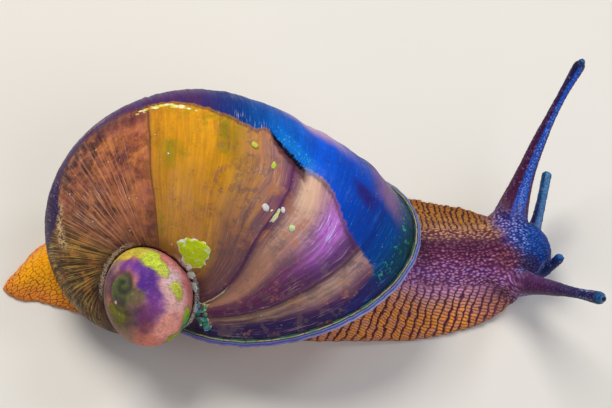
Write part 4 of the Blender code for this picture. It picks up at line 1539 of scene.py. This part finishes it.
def feeler_places(points, feeler, radii):
    """How far along a feeler points are, how much they are on it, and how far they face the way of
    its painted sheen, the stripe on the left feelers and the glint on the right ones.
    """
    steps = 120
    facing = np.array(SHEEN_STRIPE_FACING if feeler[1].y > 0 else GLINT_FACING)
    line, _ = feeler_line(feeler, np.linspace(0, 1, steps + 1))
    u, share, sheen_facing = (np.zeros(len(points)) for _ in range(3))
    near = np.flatnonzero(points[:, 0] > HEAD_BEGINS)
    begins = 0.02 if feeler[1].y > 0 else 0.12
    for part in np.array_split(near, max(1, len(near) // CHUNK)):
        place, gap = nearest_share(points[part], line)
        u[part] = place / steps
        radius = smooth_through(radius_stations(radii), u[part])[0]
        share[part] = smooth_step(-gap / radius, -1.7, -1.1) * smooth_step(
            u[part], begins, begins + 0.17)
        middle, _ = feeler_line(feeler, u[part])
        outwards = points[part] - middle
        sheen_facing[part] = outwards @ facing / np.maximum(np.linalg.norm(outwards, axis=1), 1e-6)
    return u, share, sheen_facing


def mark_skin(skin):
    """Store where each vertex lies, for the pattern, and which part of the body it is on."""
    points = points_of(skin.data)
    x, y, _ = points.T
    lie = lie_of(points)
    places = {name: feeler_places(points, *shape) for name, shape in FEELERS.items()}
    shares = {name: place[1] for name, place in places.items()}
    upper = shares["upper_left"] + shares["upper_right"]
    lower = np.maximum(shares["lower_left"], shares["lower_right"])
    on_feeler = np.clip(upper + lower, 0, 1)
    head = smooth_step(x + 0.22 * y, 41.0, 45.5) * (1 - on_feeler)
    tail = smooth_step(-x, 27.0, 46.0)
    aside = np.where(lie[:, 1] < 0, 1.5 - lie[:, 1], lie[:, 1] + 7.5)
    flank = smooth_step(aside, 9.5, 13.5) * (1 - head)
    store(skin.data, "lie", lie)
    store(skin.data, "spot", points)
    store(skin.data, "zones", np.stack([flank, head, tail], 1))
    store(skin.data, "feelers", np.stack([shares["upper_left"], shares["upper_right"], lower], 1))
    whole = np.maximum(sum(shares.values()), 1e-3)
    u, sheen_facing = (sum(places[n][k] * shares[n] for n in FEELERS) / whole for k in (0, 2))
    store(skin.data, "feeler_place", np.stack([u, sheen_facing, shares["lower_right"]], 1))
    return places


def wrinkle_skin(skin, places):
    """A few rings on the feelers, soft folds of the neck and a frilled margin of the foot."""
    points, normals = points_of(skin.data), read_vectors(skin.data.vertex_normals, "vector")
    x, y, z = points.T
    offset = np.zeros(len(points))
    for name, depth in (("upper_left", 0.02), ("upper_right", 0.07)):
        u, share, _ = places[name]
        rings = ripple(u + 0.004 * y, 0.016, 60) * bell(u, 0.14, 0.1)
        bands = ripple(u, 0.012, 63) * smooth_step(u, 0.2, 0.35)
        offset += share * (depth * rings + 0.03 * bands)
    folds = ripple(x + 0.35 * np.abs(y), 2.3, 61)
    folds *= smooth_step(x, 20, 26) * smooth_step(-x, -44, -38)
    offset += 0.12 * folds * smooth_step(z, 2.0, 5.0)
    frill = ripple(x + 3 * np.sign(y), 1.3, 62) * bell(z, 1.2, 1.0)
    offset += 0.22 * frill * (z > 0.05)
    put_points(skin.data, points + normals * offset[:, None])


def skin_pattern(wire, looks):
    """Granules of the back, bricks of the flanks and fine grains elsewhere.

    The same wiring raises the mesh and colours it. Every value runs from 0 to 1.
    """
    along, across, _ = wire.split(wire.attribute("lie"))
    flank, head, tail = wire.split(wire.attribute("zones"))
    spot = wire.attribute("spot")
    sway_x, sway_y, _ = wire.split(wire.noise_vector(spot, 0.3, 1.6))
    jog_x, jog_y, _ = wire.split(wire.noise_vector(spot, 0.9, 1.1))
    on_feeler = wire.math("MINIMUM", sum(wire.split(wire.attribute("feelers"))), 1.0)

    pitch = looks.granule_pitch / MM
    rows = wire.vector((along + 0.3 * across + sway_x) / (pitch * 1.25),
                       (across - 0.2 * along + sway_y * 0.8) / (pitch * 0.75), 0.0)
    granule, granule_shade = wire.cells(rows, 1.0, 0.8, "2D")
    granule = granule.step(0.56, 0.12)

    far = across.step(-3.0, 3.0)
    column = (along - 0.3 * across * (1.0 - far) + sway_x + jog_x) / (
        looks.column_pitch / MM * (1.0 - 0.26 * far))
    number = wire.math("FLOOR", column)
    inside = wire.math("FRACT", column)
    aside = wire.math("ABSOLUTE", inside - 0.5) * 2.0
    width = 0.84 - 0.16 * wire.chance(wire.vector(number, 9.0, 2.0))
    pile = (across + jog_y * 0.6) / 0.7 + wire.chance(wire.vector(number, 3.0, 0.0)) * 5.0
    pile = pile + (inside - 0.5) * 0.5
    storey = wire.math("FLOOR", pile)
    height = wire.math("ABSOLUTE", wire.math("FRACT", pile) - 0.5) * 2.0
    where = wire.vector(number, storey, 5.0)
    chance = wire.chance(where)
    brick = aside.step(width + 0.16, width - 0.24) * (
        0.38 + 0.62 * height.step(1.0 - chance * 0.2, 0.42))

    net, _ = wire.cells(wire.vector(along / 1.4 + sway_x * 0.6, across / 0.85, 0.0),
                        1.0, 0.9, "2D", "DISTANCE_TO_EDGE")
    net = net.step(-0.02, 0.13)
    grain, grain_shade = wire.cells(wire.multiplied(spot, (1.35, 2.1, 1.7)), 1.0, 0.9)
    grain = grain.step(0.62, 0.2)
    small, _ = wire.cells(spot, 2.6, 0.9)
    small = small.step(0.62, 0.2)

    patchy = wire.noise(spot, 0.5, 3.0) - 0.5
    flank = (flank + patchy * 0.9).step(0.2, 0.8)
    body = granule + (brick - granule) * flank
    body = body + (net - body) * tail
    body = body + (grain - body) * head
    body = body + (small - body) * on_feeler
    rise = ((1.0 + 0.35 * flank) * (1.0 - 0.3 * head) * (1.0 - 0.6 * tail)
            * (1.0 - 0.75 * on_feeler))
    return SimpleNamespace(
        body=body, rise=rise, granule=granule, granule_shade=granule_shade, brick=brick,
        chance=chance, where=where, net=net, grain=grain, grain_shade=grain_shade, small=small,
        along=along, across=across, flank=flank, head=head, tail=tail, spot=spot,
        height=wire.split(spot)[2])


def raise_pattern(skin, looks):
    """Raise the skin's granules and bricks in its mesh."""
    tree = bpy.data.node_groups.new("skin_relief", "GeometryNodeTree")
    tree.interface.new_socket("Geometry", in_out="INPUT", socket_type="NodeSocketGeometry")
    tree.interface.new_socket("Geometry", in_out="OUTPUT", socket_type="NodeSocketGeometry")
    wire = Wiring(tree)
    source, sink = wire.add("NodeGroupInput"), wire.add("NodeGroupOutput")
    pattern = skin_pattern(wire, looks)
    normal = wire.add("GeometryNodeInputNormal").outputs[0]
    lift = (pattern.body - 0.5) * pattern.rise * (looks.relief / MM)
    offset = wire.scaled(normal, lift * pattern.height.step(0.1, 0.8))
    move = wire.add("GeometryNodeSetPosition")
    wire.named_inputs(move, Geometry=source.outputs[0], Offset=offset)
    wire.feed(sink.inputs[0], move.outputs[0])
    skin.modifiers.new("relief", "NODES").node_group = tree
    apply_modifiers(skin)


# ---------------------------------------------------------------- skin looks

def feeler_colours(wire, looks, pattern, under):
    """Maroon, plum and blue feelers with navy tips, a painted blue sheen stripe with painted gleams
    along the left one, the same sheen on the lower left one, and a painted glint on the right one.
    """
    upper_left, upper_right, lower = wire.split(wire.attribute("feelers"))
    u, sheen_facing, lower_right = wire.split(wire.attribute("feeler_place"))
    small = pattern.small
    left = wire.ramp(u, (
        (0.0, "#4e3064"), (0.12, "#5a2a52"), (0.3, "#56204a"), (0.6, "#482050"),
        (0.85, "#2e2862"), (0.95, "#16224c"), (1.0, "#101c3c")))
    # Painted sheen: a blue stripe on the side facing one way, with painted highlights (gleam)
    # within it
    stripe = sheen_facing.step(0.82, 0.93) * u.step(1.0, 0.93)
    gleam = sheen_facing.step(0.95, 0.99) * u.step(0.8, 0.6) * small
    left = wire.coats(left, (stripe * (0.75 + 0.25 * small), looks.sheen_stripe_blue),
                      (gleam * 0.45, "#a8d0ff"), (sheen_facing.step(-0.2, -0.7) * 0.35, "#7c4a6c"))
    right = wire.ramp(u, (
        (0.0, "#421c34"), (0.07, "#54284c"), (0.14, "#68346a"), (0.22, "#5e2e64"),
        (0.38, "#5e2c68"), (0.56, "#4a2860"), (0.74, "#2c2a68"), (0.84, "#10286c"),
        (0.95, "#0a2058"), (1.0, "#1c78b8")))
    glint = u.between(0.8, 0.93, 0.02) * sheen_facing.between(0.66, 0.86, 0.06)
    right = wire.blend(glint * small.step(0.2, 0.6) * 0.85, right, "#b0b4f0")
    low_left = wire.ramp(u, (
        (0.0, "#54407c"), (0.4, "#2c4c90"), (0.8, "#0c5c94"), (1.0, "#0a4060")))
    low_right = wire.ramp(u, (
        (0.0, "#22306c"), (0.3, "#082860"), (0.8, "#08286c"), (0.93, "#0e3c84"),
        (1.0, "#2c88d0")))
    # Painted sheen: a pale blue stripe along the lower left feeler
    low = wire.coats(low_left, (sheen_facing.step(0.55, 0.9) * 0.65, "#74b8f8"),
                     (lower_right, low_right))
    on_feeler = wire.math("MINIMUM", upper_left + upper_right + lower, 1.0)
    tips = on_feeler * small * wire.chance(pattern.grain_shade).step(0.7, 0.9)
    return wire.coats(under, (upper_left, left), (upper_right, right), (lower, low),
                      (on_feeler * (1.0 - small) * 0.5, "#1c0f28"), (tips * 0.35, "#b894c4"))


def body_colours(wire, looks, pattern, drift):
    """Granules of the back and bricks of the flanks, which change hue from side to side."""
    granule, brick, chance = pattern.granule, pattern.brick, pattern.chance
    side = pattern.across + drift * 3.0
    ground = wire.ramp(side, (
        (-24.0, "#4a2024"), (-14.0, "#4c1e34"), (-11.0, "#6a3a5c"), (-7.0, "#6a3468"),
        (-3.0, looks.maroon), (-0.4, "#40163a"), (1.2, "#5e3444"), (3.0, "#5a2c3c"),
        (6.6, looks.groove), (24.0, "#4a2418")))
    tops = wire.ramp(side, (
        (-24.0, "#f49c78"), (-18.0, "#f09660"), (-13.5, "#e0a090"), (-10.5, "#dc9cc4"),
        (-7.0, "#cc8cc4"), (-4.0, "#ac648c"), (-1.6, "#884a64"), (0.0, "#84505c"),
        (1.4, "#c09078"), (3.2, "#dca470"), (7.0, "#9c6632"), (24.0, "#805020")))
    shade_of_cell, other_shade, _ = wire.split(pattern.granule_shade)
    share = granule * (0.45 + 0.6 * shade_of_cell)
    bright = other_shade.step(0.78, 0.95) * granule * side.step(0.0, -4.0)
    violet = shade_of_cell.step(0.8, 0.95) * side.between(-11.0, -4.5, 1.5)
    back = wire.coats(ground, (wire.math("MINIMUM", share, 1.0), tops), (bright * 0.42, "#d8a8c0"),
                      (violet * granule * 0.6, "#9a84f0"))
    near = side.step(4.0, -4.0)
    lit = wire.math("ABSOLUTE", side + 2.5).step(9.5, 12.5)
    core = brick.step(0.5, 0.95) * (0.35 + 0.65 * chance)
    other = wire.chance(wire.scaled(pattern.where, 3.7)).step(0.7, 0.8) * brick
    bricks = wire.coats(ground, (wire.math("MINIMUM", brick * (0.75 + 0.4 * chance), 1.0), tops),
                        (core * lit * (0.45 + 0.5 * near), looks.orange),
                        (other * near * 0.55, "#c98a84"))
    skin = wire.blend(pattern.flank, back, bricks)

    # The pale hem of the foot, and the purple haze of the neck behind the head
    hem = pattern.height.step(1.8, 0.4) * pattern.flank
    haze = pattern.along.between(37.0, 44.0, 3.0) * pattern.flank * side.step(0.0, -4.0)
    return wire.coats(skin, (hem * 0.5, "#9a6a5a"), (haze * 0.3, "#8a5078"))


def tail_colours(wire, looks, pattern, drift):
    """Bright orange, with thin redder seams that darken low down."""
    net, height = pattern.net, pattern.height
    seam = net.step(0.9, 0.1) * (height + drift * 3.0).step(7.0, 2.4)
    return wire.coats(wire.blend(net, "#d8761a", looks.tail_orange),
                      ((height + drift * 2.0).step(4.2, 1.0) * 0.65, "#de703c"),
                      (seam * 0.85, "#4a2024"))


# Where the feelers leave the head: place, reach, and the colours between and on the grains
FEELER_ROOTS = (
    ((43.8, -3.2, 10.6), 4.4, "#401628", "#b8606c"),
    ((45.3, -8.2, 5.4), 5.0, "#5a2848", "#d89498"),
    ((48.0, -8.0, 9.0), 3.6, "#4a1c48", "#b868a0"),
)
LEFT_ROOT = (43.4, 5.6, 10.6)
# Centre of the painted shade in the hollow beside the right feeler's root
SHADED_HOLLOW_BY_ROOT = (47.6, -4.4, 9.6)


def head_colours(wire, looks, pattern, drift, under):
    """Navy with lighter blue grains, plum towards the right feeler's root, and painted shade in the
    hollow beside it.
    """
    grain, spot = pattern.grain, pattern.spot
    spot_x, spot_y, _ = wire.split(spot)
    ground = wire.ramp(spot_y + drift * 2.0, (
        (-9.0, "#3e1838"), (-5.5, "#321c50"), (-2.0, "#0e2a70"), (2.0, looks.head_navy),
        (8.0, "#142c78")))
    tops = wire.ramp(spot_x + drift * 3.0, (
        (41.0, "#bc80a4"), (43.5, "#a49ce4"), (46.5, "#8c9cec"), (48.5, "#387ce0"),
        (50.0, "#1260c4"), (54.0, "#0a50ac")))
    chance, _, _ = wire.split(pattern.grain_shade)
    grains = wire.math("MINIMUM", grain * (0.25 + 0.95 * chance), 1.0)
    skin = wire.blend(pattern.head, under, wire.blend(grains, ground, tops))
    for place, reach, low, high in FEELER_ROOTS:
        root = wire.distance(spot, place).step(reach, reach * 0.45)
        skin = wire.blend(root * 0.8, skin, wire.blend(grain * (0.3 + 0.7 * chance), low, high))
    # Painted shade: the hollow beside the right feeler's root is coloured dark
    root_hollow_shade = wire.distance(spot, SHADED_HOLLOW_BY_ROOT).step(4.2, 1.8)
    left_root = wire.distance(spot, LEFT_ROOT).step(4.4, 1.8)
    left_shade = wire.blend(grain * (0.4 + 0.5 * chance), "#2c2470", "#b8b0f4")
    return wire.coats(skin, (root_hollow_shade * 0.7, "#28122e"), (left_root * 0.75, left_shade))


def skin_material(looks):
    """One material for the whole skin, from the back and flanks to the feelers' tips."""
    material, wire, shader = new_material("snail_skin")
    pattern = skin_pattern(wire, looks)
    spot = pattern.spot
    drift = wire.noise(spot, 0.25, 3.0) - 0.5
    skin = body_colours(wire, looks, pattern, drift)
    skin = wire.blend(pattern.tail, skin, tail_colours(wire, looks, pattern, drift))
    skin = head_colours(wire, looks, pattern, drift, skin)
    skin = feeler_colours(wire, looks, pattern, skin)

    micro = wire.noise(spot, 9.0, 3.0, 0.6)
    sole = pattern.height.step(0.3, 0.0)
    skin = wire.coats(skin, (sole, "#6b4c40"), ((micro - 0.3) * 0.2, "#1a0c14"))
    rough = 0.55 - pattern.body * 0.14 + micro * 0.12
    relief = pattern.body * pattern.rise + micro * 0.12
    finish_surface(wire, shader, skin, rough, wire.bump(relief, 0.00018, 0.8),
                   coat=0.05, coat_roughness=0.3, shine=0.2)
    return material


class SNAIL_OT_skin(bpy.types.Operator):
    """Make the one skin of foot, neck, head, feelers and mantle"""
    bl_idname = "snail.skin"
    bl_label = "Skin"

    def execute(self, context):
        looks = context.scene.snail_skin
        skin = skin_form()
        keep_largest(skin)
        refine_skin(skin)
        places = mark_skin(skin)
        wrinkle_skin(skin, places)
        raise_pattern(skin, looks)
        finish_piece(skin, skin_material(looks), SKIN_FLESH)
        return {"FINISHED"}


# ---------------------------------------------------------------- eyes

def shape_eye(side, feeler):
    """A round eye with a low clear bulge over its pupil."""
    base, tip, bend = feeler
    ahead = (tip - (base + tip) / 2 - bend).normalized()
    bm = bmesh.new()
    bmesh.ops.create_uvsphere(bm, u_segments=40, v_segments=28, radius=1.0)
    eye = new_piece("eye_ball_" + side, bm)
    points = points_of(eye.data)
    gaze = points[:, 2].copy()
    radius = EYE_RADIUS * (1 + 0.07 * smooth_step(gaze, 0.72, 0.95))
    turn = np.array(UP.rotation_difference(ahead).to_matrix())
    put_points(eye.data, np.array(eye_centre(feeler)) + (points * radius[:, None]) @ turn.T)
    store(eye.data, "gaze", gaze)
    store(eye.data, "spot", points * 3)
    return eye


def eye_material():
    material, wire, shader = new_material("snail_eye")
    gaze, _, _ = wire.split(wire.attribute("gaze"))
    mottle = wire.noise(wire.attribute("spot"), 2.2, 3.0)
    iris = wire.ramp(gaze + (mottle - 0.5) * 0.1, (
        (-1.0, "#14244c"), (0.35, "#10305c"), (0.62, "#1c5a98"), (0.75, "#2c78b8"),
        (0.83, "#0a1836"), (1.0, "#060a18")))
    finish_surface(wire, shader, iris, 0.12 + mottle * 0.06, wire.bump(mottle, 0.00002, 0.3),
                   coat=0.4, coat_roughness=0.05)
    return material


class SNAIL_OT_eyes(bpy.types.Operator):
    """Make the two eyes in the tips of the upper feelers"""
    bl_idname = "snail.eyes"
    bl_label = "Eyes"

    def execute(self, context):
        material = eye_material()
        for side, feeler in (("left", UPPER_LEFT), ("right", UPPER_RIGHT)):
            finish_piece(shape_eye(side, feeler), material, ["eye_" + side])
        return {"FINISHED"}


# ---------------------------------------------------------------- stage

CAMERA_PLACE = Vector((0.0, -151.51, 291.57))
CAMERA_TILT = math.radians(30)


def floor_material(looks):
    material, wire, shader = new_material("floor")
    place = wire.add("ShaderNodeTexCoord").outputs["Object"]
    cloud = wire.noise(place, 9.0, 3.0)
    shade = wire.blend(cloud.step(0.3, 0.7) * 0.06, looks.floor, "#c9c5bd")
    finish_surface(wire, shader, shade, 0.65 + cloud * 0.05, wire.bump(cloud, 0.0002, 0.1))
    return material


def soft_light(name, place, size, power, shade, glossy=True):
    """An area light that faces the snail."""
    data = bpy.data.lights.new(name, "AREA")
    data.shape = "DISK"
    data.size = size
    data.energy = power
    data.color = tint(shade)[:3]
    light = bpy.data.objects.new(name, data)
    bpy.context.scene.collection.objects.link(light)
    light.location = place
    light.rotation_euler = (-Vector(place)).to_track_quat("-Z", "Y").to_euler()
    light.visible_glossy = glossy


class SNAIL_OT_stage(bpy.types.Operator):
    """Make the floor, the soft lights and the camera"""
    bl_idname = "snail.stage"
    bl_label = "Stage"

    def execute(self, context):
        looks = context.scene.snail_stage
        bm = bmesh.new()
        bmesh.ops.create_grid(bm, x_segments=8, y_segments=8, size=1.2)
        floor = new_piece("floor", bm)
        floor.data.materials.append(floor_material(looks))
        floor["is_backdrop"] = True

        soft_light("key", (-0.16, 0.26, 0.52), 0.34, looks.key_power, "#fffaf2", False)
        soft_light("fill", (0.34, -0.34, 0.40), 0.5, looks.key_power * 0.42, "#f0f3ff", False)
        soft_light("sheen", (0.36, 0.16, 0.46), 0.16, looks.key_power * 0.2, "#f4f6ff")
        world = bpy.data.worlds.new("room")
        world.use_nodes = True
        backdrop = world.node_tree.nodes["Background"]
        backdrop.inputs["Color"].default_value = tint("#f4f4f6")
        backdrop.inputs["Strength"].default_value = looks.sky
        context.scene.world = world

        camera_data = bpy.data.cameras.new("camera")
        camera_data.lens = looks.lens
        camera_data.sensor_width = 36.0
        camera_data.clip_start = 0.01
        camera = bpy.data.objects.new("camera", camera_data)
        context.scene.collection.objects.link(camera)
        camera.location = (CAMERA_PLACE + snail_shift()) * MM
        camera.rotation_euler = (CAMERA_TILT, 0.0, 0.0)
        context.scene.camera = camera
        context.scene.view_settings.view_transform = "Standard"
        return {"FINISHED"}


# ---------------------------------------------------------------- add-on

OPERATORS = (SNAIL_OT_shell_whorl, SNAIL_OT_shell_spire, SNAIL_OT_shell_lip,
             SNAIL_OT_shell_crust, SNAIL_OT_skin, SNAIL_OT_eyes, SNAIL_OT_stage)
LOOKS = {"snail_shell": SnailShellLooks, "snail_spire": SnailSpireLooks,
         "snail_skin": SnailSkinLooks, "snail_stage": SnailStageLooks}


class SNAIL_PT_panel(bpy.types.Panel):
    """Lists the snail's pieces with their sizes and colours"""
    bl_idname = "SNAIL_PT_panel"
    bl_label = "Striped snail"
    bl_space_type = "VIEW_3D"
    bl_region_type = "UI"
    bl_category = "Snail"

    def draw(self, context):
        for operator in OPERATORS:
            self.layout.operator(operator.bl_idname)
        for name, group in LOOKS.items():
            box = self.layout.box()
            for field in group.__annotations__:
                box.prop(getattr(context.scene, name), field)


def register():
    for group in LOOKS.values():
        bpy.utils.register_class(group)
    for name, group in LOOKS.items():
        setattr(bpy.types.Scene, name, PointerProperty(type=group))
    for operator in OPERATORS:
        bpy.utils.register_class(operator)
    bpy.utils.register_class(SNAIL_PT_panel)


def unregister():
    bpy.utils.unregister_class(SNAIL_PT_panel)
    for operator in reversed(OPERATORS):
        bpy.utils.unregister_class(operator)
    for name, group in LOOKS.items():
        delattr(bpy.types.Scene, name)
        bpy.utils.unregister_class(group)


def write_sizes():
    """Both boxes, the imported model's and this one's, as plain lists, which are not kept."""
    boxes = {"cad": CAD_BOX, "visual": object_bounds()}
    plain = {name: [list(map(float, corner)) for corner in box] for name, box in boxes.items()}


def main():
    register()
    growth_streaks()
    weathering()
    bpy.ops.snail.shell_whorl()
    bpy.ops.snail.shell_spire()
    bpy.ops.snail.shell_lip()
    bpy.ops.snail.shell_crust()
    bpy.ops.snail.skin()
    bpy.ops.snail.eyes()
    bpy.ops.snail.stage()
    write_sizes()


if __name__ == "__main__":
    main()
